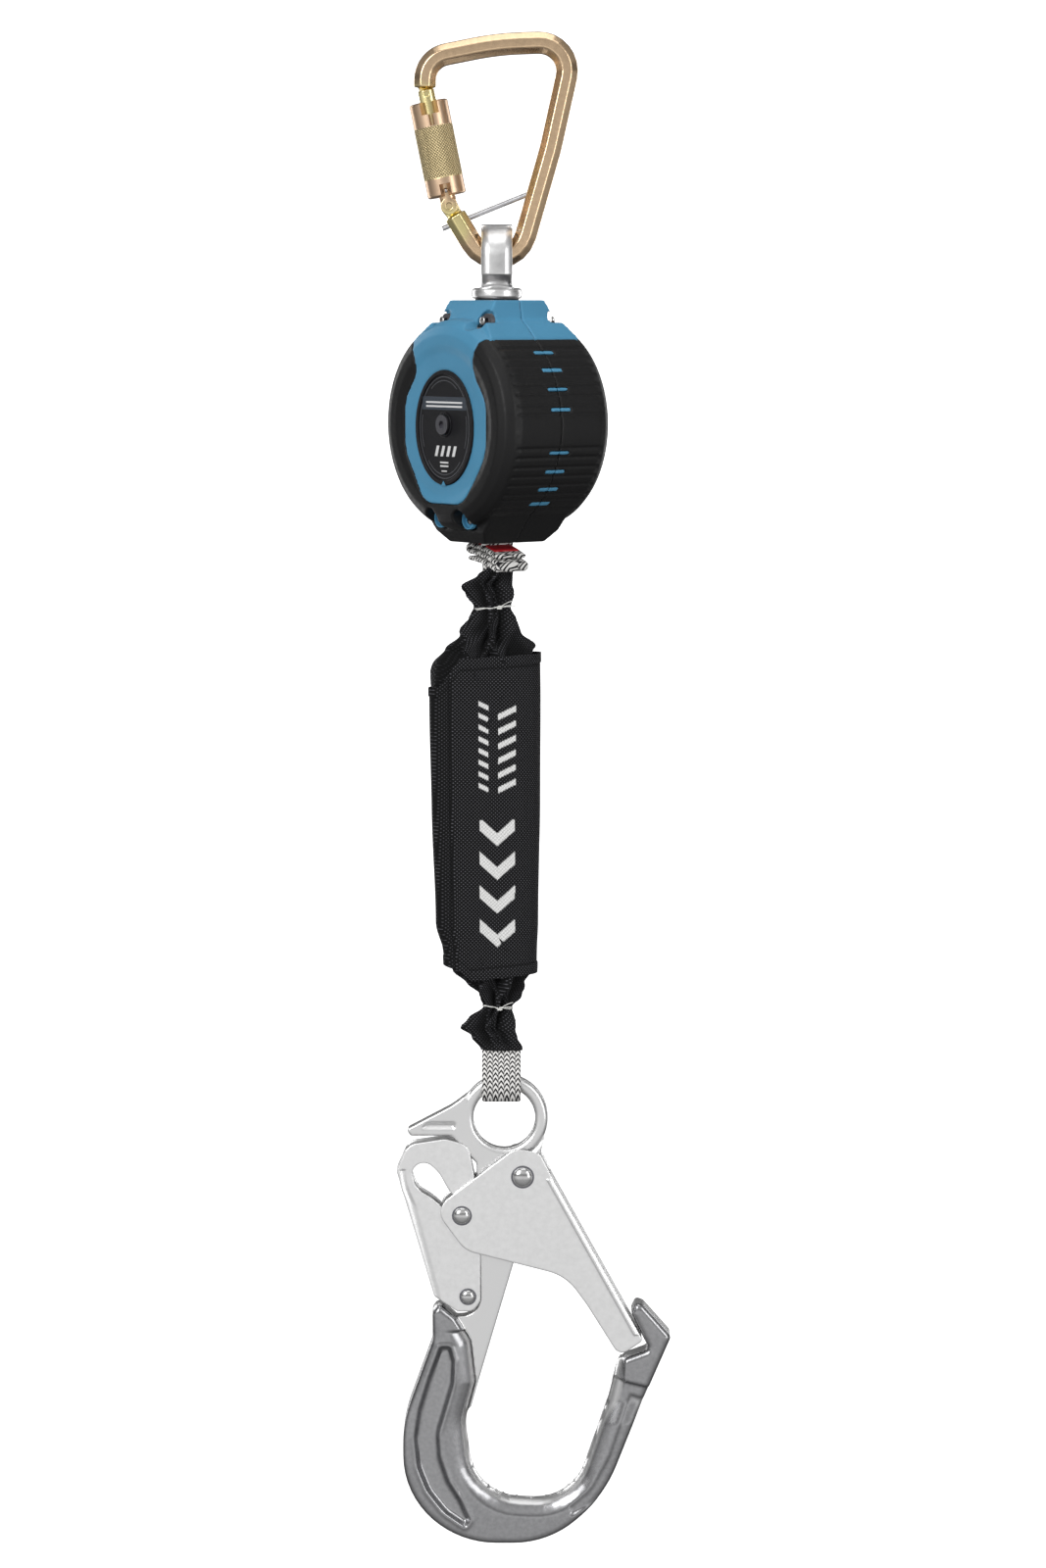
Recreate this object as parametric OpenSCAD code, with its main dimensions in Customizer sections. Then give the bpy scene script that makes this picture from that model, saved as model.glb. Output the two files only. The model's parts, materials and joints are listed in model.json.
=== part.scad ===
// Self retracting lifeline: carabiner, swivel eye, drum housing, energy absorber pack and rebar hook.
// Millimetres. +Z is up, +X and Z span the plane of the carabiner and the hook, -Y is the front.
// The origin is the inside of the carabiner's top bar, the point that hangs on an anchor.

/* [Carabiner] */
// Diameter of the carabiner's bar
bar_d = 11; // [10.5:0.1:11.5]
// Diameter of the gate rod
gate_d = 9.6; // [9:0.1:10]
// Outside diameter of the locking sleeve
sleeve_d = 19.5; // [18.5:0.5:20.5]
// Length of the locking sleeve
sleeve_l = 47.7; // [46:0.1:48]
// Lean of the gate from the vertical, in degrees
gate_lean = 11.4; // [11:0.1:12]

/* [Swivel] */
// Diameter of the swivel stud
stud_d = 12; // [11:0.5:13]
// Diameter of the collar under the eye
collar_d = 25.5; // [24:0.5:27]
// Width of the eye across its flat sides
eye_w = 15.6; // [14:0.2:16]

/* [Housing] */
// Diameter of the housing's round body
housing_d = 106; // [104:1:108]
// Turn of the housing about the vertical, in degrees
housing_yaw = -52; // [-70:1:70]
// Height of the drum axis
disc_z = -184.2; // [-188:0.2:-182]
// Thickness of the rubber grips
grip_t = 3; // [2.5:0.5:3.5]
// Thickness of the cover walls
wall = 3; // [2.5:0.5:3]
// Width of the front label
label_w = 48; // [40:1:50]
// Height of the front label
label_h = 58; // [50:1:60]

/* [Drum] */
// Diameter of the fixed axle
axle_d = 12; // [10:0.5:12]
// Radius of the drum flanges
flange_r = 36; // [34:0.5:37]
// Outside radius of the wound webbing
coil_r = 33.5; // [31:0.5:33.5]
// Number of ratchet teeth
teeth = 12; // [12:2:12]

/* [Lifeline] */
// Width of the webbing
web_w = 20; // [19:0.5:21]
// Thickness of the webbing
web_t = 1.4; // [1.2:0.1:1.6]
// Width of the absorber pack
pack_w = 55; // [52:1:57]
// Depth of the absorber pack
pack_d = 21; // [19:1:24]
// Height of the label wrap around the pack
wrap_h = 166; // [160:1:170]

/* [Hook] */
// Thickness of the hook's eye ring
ring_t = 8; // [7:0.5:8]
// Thickness of the hook's bowl
bowl_t = 17; // [16:0.5:19]
// Thickness of the gate and lever plates
plate_t = 1.8; // [1.6:0.1:2]
// Travel of the lever, in degrees
lever_travel = 12; // [10:0.5:12]
// Travel of the gate, in degrees
hook_gate_travel = 40; // [30:1:40]

/* [Hidden] */
$fn = 64;

// Clearances
gap = 0.3;
run = 0.06;
// Colours
zinc_gold = [0.80, 0.68, 0.46];
steel = [0.72, 0.73, 0.75];
dark_steel = [0.35, 0.35, 0.37];
bright = [0.85, 0.86, 0.88];
satin = [0.75, 0.76, 0.77];
shell_blue = [0.25, 0.53, 0.72];
rubber_black = [0.14, 0.14, 0.15];
web_grey = [0.62, 0.61, 0.60];
cloth_black = [0.10, 0.10, 0.11];
bronze = [0.66, 0.50, 0.28];
signal_red = [0.75, 0.05, 0.08];
tie_white = [0.92, 0.92, 0.90];

// ---------- geometry helpers ----------
function unit(v) = v / norm(v);
function bend(b, from, to, r, steps) =
    let (u = unit(from - b), v = unit(to - b))
    let (half = acos(max(-1, min(1, u * v))) / 2)
    let (c = b + unit(u + v) * r / sin(half))
    let (s = b + u * r / tan(half) - c, e = b + v * r / tan(half) - c)
    let (a0 = atan2(s[1], s[0]), raw = atan2(e[1], e[0]) - a0)
    let (sweep = raw > 180 ? raw - 360 : raw < -180 ? raw + 360 : raw)
    [for (k = [0:steps]) c + r * [cos(a0 + sweep * k / steps), sin(a0 + sweep * k / steps)]];
// Closed outline from corners [x, z, radius]
function rounded(corners, steps = 8) =
    let (n = len(corners))
    [for (i = [0:n - 1])
        let (b = [corners[i][0], corners[i][1]], p = corners[(i + n - 1) % n], q = corners[(i + 1) % n])
        each corners[i][2] == 0 ? [b]
            : bend(b, [p[0], p[1]], [q[0], q[1]], corners[i][2], steps)];
// Open centre line from corners [x, z, radius]
function route(corners, steps = 8) =
    let (n = len(corners))
    [for (i = [0:n - 1])
        let (b = [corners[i][0], corners[i][1]])
        each (i == 0 || i == n - 1) ? [b]
            : bend(b, [corners[i - 1][0], corners[i - 1][1]], [corners[i + 1][0], corners[i + 1][1]],
                corners[i][2], steps)];
function ellipse(w, h, cz = 0, n = 48) = [for (k = [0:n - 1]) [w / 2 * cos(360 * k / n), cz + h / 2 * sin(360 * k / n)]];
function wheel(a) = [cos(a), sin(a)];

// A shape drawn in X and Z, given thickness from y0 to y1
module slab(y0, y1) {
    translate([0, y1, 0]) rotate([90, 0, 0]) linear_extrude(y1 - y0) children();
}
// A shape drawn in Y and Z, given thickness from x0 to x1
module side_slab(x0, x1) {
    translate([x0, 0, 0]) rotate([90, 0, 90]) linear_extrude(x1 - x0) children();
}
// A round rod along Y
module rod(x, z, r, y0, y1) {
    translate([x, y1, z]) rotate([90, 0, 0]) cylinder(r = r, h = y1 - y0);
}
// A solid of revolution about Y from a profile of [radius, depth towards the front]
module turned(profile) {
    rotate([90, 0, 0]) rotate_extrude($fn = 96) polygon(profile);
}
// A closed tube of rings
module ring_tube(rings) {
    n = len(rings);
    m = len(rings[0]);
    faces = concat(
        [[for (j = [0:m - 1]) j]],
        [for (i = [0:n - 2], j = [0:m - 1])
            [i * m + j, (i + 1) * m + j, (i + 1) * m + (j + 1) % m, i * m + (j + 1) % m]],
        [[for (j = [m - 1:-1:0]) (n - 1) * m + j]]
    );
    polyhedron(points = [for (ring = rings) each ring], faces = faces, convexity = 8);
}
// A helical wire spring along Z from z = 0
module coil_spring(r, wire, h, turns, steps = 12, sides = 5) {
    rings = [for (i = [0:turns * steps])
        let (a = 360 * i / steps, z = wire + (h - 2 * wire) * i / (turns * steps))
        [for (j = [sides - 1:-1:0])
            let (s = 360 * j / sides, rr = r + wire * cos(s))
            [rr * cos(a), rr * sin(a), z + wire * sin(s)]]];
    ring_tube(rings);
}
// A bar swept along a centre line in X and Z
module swept_bar(path, section) {
    n = len(path);
    rings = [for (i = [0:n - 1])
        let (t = unit(path[min(i + 1, n - 1)] - path[max(i - 1, 0)]), across = [t[1], -t[0]])
        [for (s = section) [path[i][0] + across[0] * s[0], s[1], path[i][1] + across[1] * s[0]]]];
    ring_tube(rings);
}

// ---------- carabiner ----------
pivot = [-24, -75];
shoulder = 5.5;
bar_line = route([[-36.1, -15.8, 0], [-36, -1.5, 13], [0, 5.6, 150], [39, 7, 14], [27, -46.5, 100],
    [5, -122.8, 15], [pivot[0] + 0.54 * shoulder, pivot[1] - 0.84 * shoulder, 0]]);
bar_section = [for (k = [0:7]) bar_d / 2 / cos(22.5) * wheel(22.5 + 45 * k)];
tongue_t = 3.8;
gate_top = 59;
latch_s = 57;
tongue_s = 53.9;

module at_gate() {
    translate([pivot[0], 0, pivot[1]]) rotate([0, -gate_lean, 0]) children();
}
module carabiner_body() color(zinc_gold) difference() {
    union() {
        swept_bar(bar_line, bar_section);
        // hinge tongue
        slab(-tongue_t / 2, tongue_t / 2) hull() {
            translate(pivot) circle(r = 4.4);
            translate([-20.2, -81]) circle(r = 3.6);
        }
        // latch tongue of the nose
        at_gate() difference() {
            translate([-3.4, -1.8, tongue_s]) cube([6.8, 3.6, 8.5]);
            translate([-1.7, -3, latch_s - 1.7]) cube([6, 6, 3.4]);
        }
    }
    rod(pivot[0], pivot[1], 1.5, -6, 6);
    captive_line(1.25);
}
module captive_line(r) {
    a = [-27.5, 0, -86.2];
    b = [15.6, 0, -69];
    translate(a) rotate([0, atan2(b[0] - a[0], b[2] - a[2]), 0]) cylinder(r = r, h = norm(b - a));
}
module captive_pin() color(steel) captive_line(1.25);
module carabiner_gate_pin() color(steel) rod(pivot[0], pivot[1], 1.5, -4.4, 4.4);
module carabiner_gate() color(zinc_gold) at_gate() difference() {
    union() {
        cylinder(d = gate_d, h = gate_top);
        rotate([90, 0, 0]) translate([0, 0, -4.5]) cylinder(r = 4.3, h = 9);
    }
    // fork around the hinge tongue
    translate([-8, -2.25, -8]) cube([16, 4.5, 13.2]);
    rotate([90, 0, 0]) translate([0, 0, -10]) cylinder(r = 1.5 + run, h = 20);
    // slot around the nose's latch tongue
    translate([-8, -2.2, tongue_s - 0.5]) cube([16, 4.4, 12]);
    // bores for the latch pin, the plunger and its spring
    translate([0, 8, latch_s]) rotate([90, 0, 0]) cylinder(r = 1.2, h = 16);
    translate([0, 0, 4]) cylinder(r = 2.2, h = 16.2);
}
module gate_latch_pin() color(steel) at_gate()
    translate([0, gate_d / 2 - 0.4, latch_s]) rotate([90, 0, 0]) cylinder(r = 1.2, h = gate_d - 0.8);
module gate_plunger() color(steel) at_gate() translate([0, 0, 5]) cylinder(r = 2.1, h = 4);
module gate_return_spring() color(steel) at_gate() translate([0, 0, 9.1]) coil_spring(1.6, 0.4, 11, 7);
module sleeve_spring() color(steel) at_gate() translate([0, 0, 14]) coil_spring(6.2, 0.6, 15, 6, 16);
module locking_sleeve() color(zinc_gold) at_gate() difference() {
    translate([0, 0, 5.3]) union() {
        cylinder(d1 = sleeve_d - 2, d2 = sleeve_d, h = 1);
        translate([0, 0, 1]) cylinder(d = sleeve_d, h = sleeve_l - 2);
        translate([0, 0, sleeve_l - 1]) cylinder(d1 = sleeve_d, d2 = sleeve_d - 2, h = 1);
    }
    translate([0, 0, 4]) cylinder(r = gate_d / 2 + run, h = 60);
    translate([0, 0, 13]) cylinder(r = 7.3, h = 17);
    // windows at the front
    translate([-4.5, -12, 46.5]) cube([9, 12, 12]);
    translate([-1.2, -12, 41]) cube([2.4, 12, 8]);
    translate([-2.8, -12, 2]) cube([5.6, 12, 9.5]);
}

// ---------- swivel eye ----------
eye_z = -100;
hole_z = -102.4;
collar_z = -115.5;
washer_z = -121.3;
module swivel_eye() color(bright) difference() {
    union() {
        side_slab(-eye_w / 2, eye_w / 2) union() {
            translate([0, eye_z]) circle(r = 16);
            polygon([[-16, eye_z], [-16, -109], [-9, collar_z - 1], [9, collar_z - 1], [16, -109], [16, eye_z]]);
        }
        translate([0, 0, washer_z + 1]) cylinder(d = collar_d, h = 3.4);
        translate([0, 0, washer_z + 4.4]) cylinder(d1 = collar_d, d2 = collar_d - 3, h = 1.1);
        translate([0, 0, washer_z]) cylinder(d1 = collar_d - 2, d2 = collar_d, h = 1);
        translate([0, 0, -147]) cylinder(d = stud_d, h = 26);
    }
    // hole with flared mouths, which lets the carabiner's bar lie in it
    translate([0, 0, hole_z]) rotate([0, 90, 0]) rotate_extrude() difference() {
        translate([0, -9]) square([16.7, 18]);
        translate([16.7, 0]) circle(r = 8.4);
    }
}
module swivel_washer() color(rubber_black) translate([0, 0, washer_z - 0.7]) difference() {
    cylinder(r = 11, h = 0.7);
    translate([0, 0, -1]) cylinder(d = stud_d, h = 3);
}
module swivel_nut() color(dark_steel) translate([0, 0, -145.7]) difference() {
    cylinder(r = 10.5, h = 5.6, $fn = 6);
    translate([0, 0, -1]) cylinder(d = stud_d, h = 8);
}
module thrust_washer() color(bronze) translate([0, 0, -140.1]) difference() {
    cylinder(r = 10.5, h = 1.3);
    translate([0, 0, -1]) cylinder(d = stud_d, h = 4);
}

// ---------- housing ----------
outer_r = housing_d / 2;
shell_r = outer_r - grip_t;
cavity_r = shell_r - wall;
outer_profile = [[0, 0], [outer_r, 0], [outer_r, 25], [outer_r - 0.8, 29], [outer_r - 3.5, 32.6], [45, 34.4], [40, 34.4],
    [36, 33.4], [0, 33.4]];
shell_profile = [[0, 0], [shell_r, 0], [shell_r, 21], [shell_r - 1.5, 25], [shell_r - 6, 28], [35, 30.4], [0, 31.4]];
cavity_profile = [[0, -1], [cavity_r, -1], [cavity_r, 19], [cavity_r - 1.5, 22.5], [cavity_r - 5, 25], [33, 27.2],
    [0, 28.2]];
// Blue figure on the front: head, neck and bulb
figure = rounded([[-40, 64, 0], [40, 64, 0], [40, 43, 0], [28, 43, 3], [22, 27, 14], [34, 12, 20], [34, -14, 26],
    [16, -40, 14], [-16, -40, 14], [-34, -14, 26], [-34, 12, 20], [-22, 27, 14], [-28, 43, 3], [-40, 43, 0]]);
head_front = [[-19, 62.2], [19, 62.2], [20.5, 52.5], [23.5, 50.5], [31, 43.6], [31, 30], [-31, 30], [-31, 43.6],
    [-23.5, 50.5], [-20.5, 52.5]];
head_side = [[-15.7, 62.2], [15.7, 62.2], [22, 52.5], [24.8, 50.5], [28, 43], [28, 30], [-28, 30], [-28, 43],
    [-24.8, 50.5], [-22, 52.5]];
nozzle_front = [[-15, -60], [15, -60], [27, -46], [27, -30], [-27, -30], [-27, -46]];
nozzle_side = [[-19, -60], [19, -60], [24, -54], [26, -30], [-26, -30], [-24, -54]];
frame_side = [[-28, -14], [-25.5, -14], [-25.5, 37], [-16.5, 46], [16.5, 46], [25.5, 37], [25.5, -14], [28, -14],
    [28, 38], [18, 48.5], [-18, 48.5], [-28, 38]];
screw_at = [[-17, 52, 22.5], [17, 52, 22.5], [-11.6, -47.5, 25], [11.6, -47.5, 25]];
screw_r = 2;
label_cz = -1.5;
groove_z = [36, 27.5, 18, 8, -13.5, -23, -32, -39.5];
bar_l = 12.7;
boss_r = 4.6;

module in_housing() {
    translate([0, 0, disc_z]) rotate([0, 0, housing_yaw]) children();
}
// The half in front of the parting plane, or its mirror image behind
module half(back) {
    mirror([0, back ? 1 : 0, 0]) children();
}
module front_room() translate([-80, -60, -80]) cube([160, 60, 160]);
module head_block(d) intersection() {
    slab(-40, 0) offset(delta = -d) polygon(head_front);
    side_slab(-40, 40) offset(delta = -d) polygon(head_side);
}
module nozzle_block(d) intersection() {
    slab(-40, 0) offset(delta = -d) polygon(nozzle_front);
    side_slab(-40, 40) offset(delta = -d) polygon(nozzle_side);
}
module cover_half() difference() {
    union() {
        turned(shell_profile);
        intersection() {
            turned(outer_profile);
            slab(-40, 0) polygon(figure);
        }
        head_block(0);
        nozzle_block(grip_t);
        // bars that show through the grip's windows
        intersection() {
            turned(outer_profile);
            for (z = groove_z) translate([-60, 0.1 - bar_l / 2, z - 0.95]) cube([120, bar_l / 2 - 0.1, 1.9]);
        }
    }
    difference() {
        union() {
            turned(cavity_profile);
            head_block(wall);
            nozzle_block(grip_t + wall);
            // room for the load frame
            side_slab(-14, 14) polygon([[1, 52], [-19.5, 52], [-19.5, 48.7], [-29.4, 38.4], [-29.4, -18], [1, -18]]);
        }
        for (s = screw_at) rod(s[0], s[1], boss_r, -40, 1);
    }
    // label recess
    slab(-40, -32.6) polygon(ellipse(label_w + 0.4, label_h + 0.4, label_cz));
    rod(0, 0, 2.5, -40, -20);
    // screw holes with counterbores
    for (s = screw_at) rod(s[0], s[1], screw_r, -40, 1);
    for (s = screw_at) rod(s[0], s[1], 5, -45, 5.5 - s[2]);
    // swivel stud and webbing exit
    translate([0, 0, 40]) cylinder(r = 6.6, h = 30);
    translate([-3, -11.2, -62]) cube([6, 22.4, 10]);
}
module front_cover() color(shell_blue) in_housing() half(false) cover_half();
module rear_cover() color(shell_blue) in_housing() half(true) cover_half();

module grip_half() difference() {
    union() {
        intersection() {
            turned(outer_profile);
            translate([-80, -60, -80]) cube([160, 60, 80 + 43.5]);
        }
        nozzle_block(0);
    }
    turned(shell_profile);
    nozzle_block(grip_t);
    slab(-40, 0) polygon(figure);
    head_block(0);
    // windows for the cover's blue bars, and a pair of fine grooves beside each
    for (z = groove_z) translate([-60, -bar_l / 2, z - 1]) cube([120, bar_l / 2 + 1, 2]);
    for (z = groove_z, side = [-1, 1], shift = [-2.3, 2.3]) {
        x = sqrt(outer_r * outer_r - (z + shift) * (z + shift));
        translate([side * x, -22.5, z + shift]) rotate([0, -side * asin((z + shift) / outer_r), 0])
            cube([1, 30, 0.9], center = true);
    }
    for (s = screw_at) rod(s[0], s[1], 5, -45, 0);
    translate([-3, -11.2, -62]) cube([6, 22.4, 8]);
}
module front_grip() color(rubber_black) in_housing() half(false) grip_half();
module rear_grip() color(rubber_black) in_housing() half(true) grip_half();

module label_half() difference() {
    slab(-33.5, -32.6) polygon(ellipse(label_w, label_h, label_cz));
    rod(0, 0, 2.5, -40, -20);
}
module front_label() color(rubber_black) in_housing() half(false) label_half();
module rear_label() color(rubber_black) in_housing() half(true) label_half();
module label_screw() difference() {
    union() {
        rod(0, 0, 5, -35.3, -33.5);
        rod(0, 0, 2.5, -33.5, -21);
    }
    translate([0, -33.8, 0]) rotate([90, 0, 0]) cylinder(r = 2.2, h = 3, $fn = 6);
}
module label_screws() color(dark_steel) in_housing() {
    half(false) label_screw();
    half(true) label_screw();
}
module cover_screws() color(steel) in_housing() for (s = screw_at) difference() {
    union() {
        rod(s[0], s[1], 3.6, 3 - s[2], 5.5 - s[2]);
        rod(s[0], s[1], screw_r, 5.5 - s[2], s[2] - 6);
    }
    translate([s[0], 4.5 - s[2], s[1]]) rotate([90, 0, 0]) cylinder(r = 1.6, h = 3, $fn = 6);
}

// ---------- inside the housing ----------
module load_frame() color(steel) in_housing() difference() {
    side_slab(-12, 12) polygon(frame_side);
    rod(0, 0, axle_d / 2, -40, 40);
    translate([0, 0, 30]) cylinder(r = stud_d / 2 + run, h = 30);
}
module drum_axle() color(steel) in_housing() difference() {
    rod(0, 0, axle_d / 2, -28, 28);
    rod(0, 0, 2.5, -29, -20.9);
    rod(0, 0, 2.5, 20.9, 29);
}
ratchet_in = 26;
ratchet_out = 31;
tooth_h = 2.4;
// Internal saw teeth, each rising along its ramp and dropping back at its face
tooth_phase = 11.3;
ratchet_teeth = [for (k = [0:teeth - 1]) let (a = tooth_phase + 360 * k / teeth) each [
    (ratchet_in + tooth_h) * wheel(a),
    ratchet_in * wheel(a + 0.5),
    (ratchet_in + tooth_h / 2) * wheel(a + 180 / teeth)]];
module ratchet_plate() color(dark_steel) in_housing() difference() {
    rod(0, 0, ratchet_out, -25.5, -13.1);
    slab(-22, -12) polygon(ratchet_teeth);
    rod(0, 0, axle_d / 2, -40, 0);
}
module spring_case() color(dark_steel) in_housing() difference() {
    rod(0, 0, 33, 13.2, 25.5);
    rod(0, 0, 31.4, 12, 24);
    rod(0, 0, axle_d / 2, 0, 40);
}
spiral_turns = 7;
spiral_t = 0.5;
spiral_steps = 30;
function spiral_r(i) = 12.5 + 18 * i / (spiral_turns * spiral_steps);
spiral = [
    for (i = [0:spiral_turns * spiral_steps]) (spiral_r(i) + spiral_t) * wheel(360 * i / spiral_steps),
    for (i = [spiral_turns * spiral_steps:-1:0]) spiral_r(i) * wheel(360 * i / spiral_steps)
];
module power_spring() color(steel) in_housing() slab(14.6, 23.4) polygon(spiral);
module web_guide() color(dark_steel) in_housing() difference() {
    translate([-9, -13, -54]) cube([18, 26, 9]);
    translate([-1.2, -10.8, -60]) cube([2.4, 21.6, 30]);
    for (x = [-4, 4]) rod(x, -46.5, 2.5, -12, 12);
    for (s = [2, 3]) rod(screw_at[s][0], screw_at[s][1], boss_r, -30, 30);
}
module guide_pins() color(bright) in_housing() for (x = [-4, 4]) rod(x, -46.5, 2.5, -12, 12);
run_start = [-coil_r * sin(8) - 0.4, -coil_r * cos(8) - 0.4];
module inner_web_run() color(web_grey) in_housing() slab(-web_w / 2, web_w / 2)
    polygon([run_start - [0.6, 0.4], run_start + [0.8, -0.8], [web_t / 2, -43.5], [web_t / 2, -49.9],
        [-web_t / 2, -49.9], [-web_t / 2, -43.5]]);

// ---------- drum ----------
module drum() color(satin) in_housing() difference() {
    union() {
        rod(0, 0, 13.5, -12.5, 12.5);
        rod(0, 0, flange_r, -12.5, -10.7);
        rod(0, 0, flange_r, 10.7, 12.5);
        rod(0, 0, 9.5, -21.4, -12.5);
        rod(0, 0, 10.5, 12.5, 23.6);
    }
    rod(0, 0, 8, -30, 30);
    for (a = [0, 180]) rotate([0, -a, 0]) rod(pawl_x, 0, 1.6, -15, -10);
    rod(11, 0, 1.4, -11, 11);
    for (k = [0:5]) rotate([0, 60 * k, 0]) rod(24, 0, 4.5, -13, 13);
}
module drum_bushes() color(bronze) in_housing() for (y = [-21.4, 13.6]) difference() {
    rod(0, 0, 8, y, y + 10);
    rod(0, 0, axle_d / 2 + run, y - 1, y + 11);
}
module webbing_coil() color(web_grey) in_housing() difference() {
    rod(0, 0, coil_r, -web_w / 2, web_w / 2);
    rod(0, 0, 13.5, -12, 12);
}
module web_anchor_pin() color(steel) in_housing() rod(11, 0, 1.4, -11, 11);
pawl_x = 16.5;
module pawl_shape(y0, y1) difference() {
    slab(y0, y1) hull() {
        translate([pawl_x, 0]) circle(r = 3.6, $fn = 32);
        translate([16.3, 16.5]) circle(r = 1, $fn = 16);
        translate([14.3, 16.5]) circle(r = 1, $fn = 16);
    }
    rod(pawl_x, 0, 1.6 + run, -30, 0);
}
module pawl(a) color(dark_steel) in_housing() rotate([0, -a, 0]) pawl_shape(-19.5, -13);
module pawl_1() pawl(0);
module pawl_2() pawl(180);
module pawl_pins() color(steel) in_housing() for (a = [0, 180]) rotate([0, -a, 0]) rod(pawl_x, 0, 1.6, -20.5, -10.7);
module pawl_springs() color(steel) in_housing() for (a = [0, 180]) rotate([0, -a, 0])
    slab(-18.5, -12.5) polygon([[7.5, -12.5], [8.6, -12.9], [9.2, -10], [12.2, -3.4], [11.7, -3.1], [8.6, -9.7]]);

// ---------- lifeline ----------
fold_top = disc_z - 60.4;
pack_top = -300;
pack_bottom = -471;
pack_x = -5.5;
stem_x = -1;
stem_w = 11;
stem_t = 5;
module in_lifeline() rotate([0, 0, housing_yaw]) children();
module lifeline_web() color(web_grey) in_lifeline() translate([-web_t / 2, -web_w / 2, fold_top])
    cube([web_t, web_w, disc_z - 50 - fold_top]);
module stopper_fold() color(web_grey) difference() {
    union() {
        in_lifeline() translate([-13, -web_w / 2, fold_top - 12.8]) cube([26, web_w, 12.8]);
        stem(-268, 268 + fold_top - 10);
    }
    in_lifeline() translate([-8, -7, fold_top - 1.2]) cube([16, 14, 3]);
}
module load_indicator() color(signal_red) in_lifeline() translate([-8, -7, fold_top - 1.2]) cube([16, 14, 1.2]);

module pillow(x, z, w, d, h) translate([x, 0, z]) hull() for (i = [-1, 1], j = [-1, 1])
    translate([i * (w / 2 - 4), j * (d / 2 - 4), 0]) cylinder(r = 4, h = h, $fn = 24);
module pack_cover() color(cloth_black) difference() {
    union() {
        pillow(-5, -272, 24, 14, 12);
        pillow(-1, -283, 17, 12, 12);
        hull() {
            pillow(-1, -284, 17, 12, 1);
            pillow(pack_x, -305, pack_w - 2, pack_d - 2, 1);
        }
        pillow(pack_x, pack_bottom + 1, pack_w - 2, pack_d - 2, -pack_bottom - 305);
        hull() {
            pillow(pack_x + 1, pack_bottom, pack_w - 3, pack_d - 2, 2);
            pillow(0, -483, 15, 11, 1);
        }
        pillow(0, -491, 14, 11, 9);
        pillow(-1, -505, 26, 13, 15);
    }
    tear_web_shape();
    stem(-330, 80);
    stem(-512, 60);
}
// The webbing between the folded absorber and its ends
module stem(z, h) translate([stem_x - stem_w / 2, -stem_t / 2, z]) cube([stem_w, stem_t, h]);
module tear_web_shape() {
    translate([pack_x - 20, -7, pack_bottom + 10]) cube([40, 14, 150]);
    stem(-330, 62);
    stem(-506, 60);
}
module tear_web() color(web_grey) tear_web_shape();
module label_wrap() color(cloth_black) difference() {
    pillow(pack_x, -470, pack_w, pack_d, wrap_h);
    translate([0, 0, -5]) pillow(pack_x, -470, pack_w - 2, pack_d - 2, wrap_h + 10);
}
module tie_ring(x, z, w, d) difference() {
    pillow(x, z, w + 3, d + 3, 4);
    translate([0, 0, -2]) pillow(x, z, w, d, 8);
}
module upper_tie() color(tie_white) tie_ring(-1, -279, 17, 12);
module lower_tie() color(tie_white) tie_ring(0, -488, 14, 11);
hang_z = -523.7;
module lower_web_loop() color(web_grey) difference() {
    union() {
        translate([-9.5, -8, -521]) cube([20, 16, 15]);
        side_slab(-9.5, 10.5) polygon(rounded([[-9.6, -509, 2], [9.6, -509, 2], [9.6, -533.6, 8], [-9.6, -533.6, 8]]));
    }
    // room in which the hook's eye ring turns
    translate([ring_c[0], 0, hang_z]) rotate([0, 90, 0]) rotate_extrude() polygon(concat(
        [[0, -16], [0, 16]], [for (x = [16:-1:-16]) [ring_room(x), x]]));
}
function ring_room(x) =
    let (low = hang_z - ring_c[1] - sqrt(max(0, ring_in * ring_in - x * x)))
    norm([ring_t / 2, max(low, 3.3)]) + gap;

// ---------- hook ----------
ring_c = [3.5, -543];
ring_in = 16;
ring_out = 22.6;
gate_pivot = [13, -573];
lever_pivot = [-15.5, -637];
lock_at = [-18.5, -593.5];
lock_r = 4;
core_t = 8;
beak = rounded([[-47.5, -549, 1.6], [-45, -552.3, 1.2], [-24, -552.3, 3], [-9, -569, 5], [-9, -600, 0],
    [14, -600, 0], [22, -563, 4], [26.1, -545, 30], [20, -530, 0], [3, -540, 0], [-6, -523, 0], [-23.3, -536.2, 40]]);
neck = rounded([[-11, -565, 0], [22, -562, 0], [19, -583, 8], [8.5, -619, 0], [-10, -682.5, 0], [-14, -697, 0],
    [-34, -697, 0], [-34, -644, 3], [-30, -639, 3], [-23.5, -648, 4], [-9, -648, 10], [-10, -600, 4]]);
bowl = rounded([[-30.5, -641, 2], [-22, -648, 6], [-14, -661, 8], [-11.5, -683, 3], [-17, -704, 24], [-12, -745, 27],
    [39, -747, 27], [58, -691, 30], [63, -671, 3], [79, -665, 2], [69.5, -645.5, 2], [72, -640, 2], [76, -641.5, 2],
    [90.5, -658, 3], [76, -692, 30], [56, -743.6, 70], [27, -769.3, 50], [-19.7, -769.3, 50], [-49.5, -743, 46],
    [-49.5, -703.5, 70], [-33.5, -659, 12], [-34, -645, 3]]);
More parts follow.
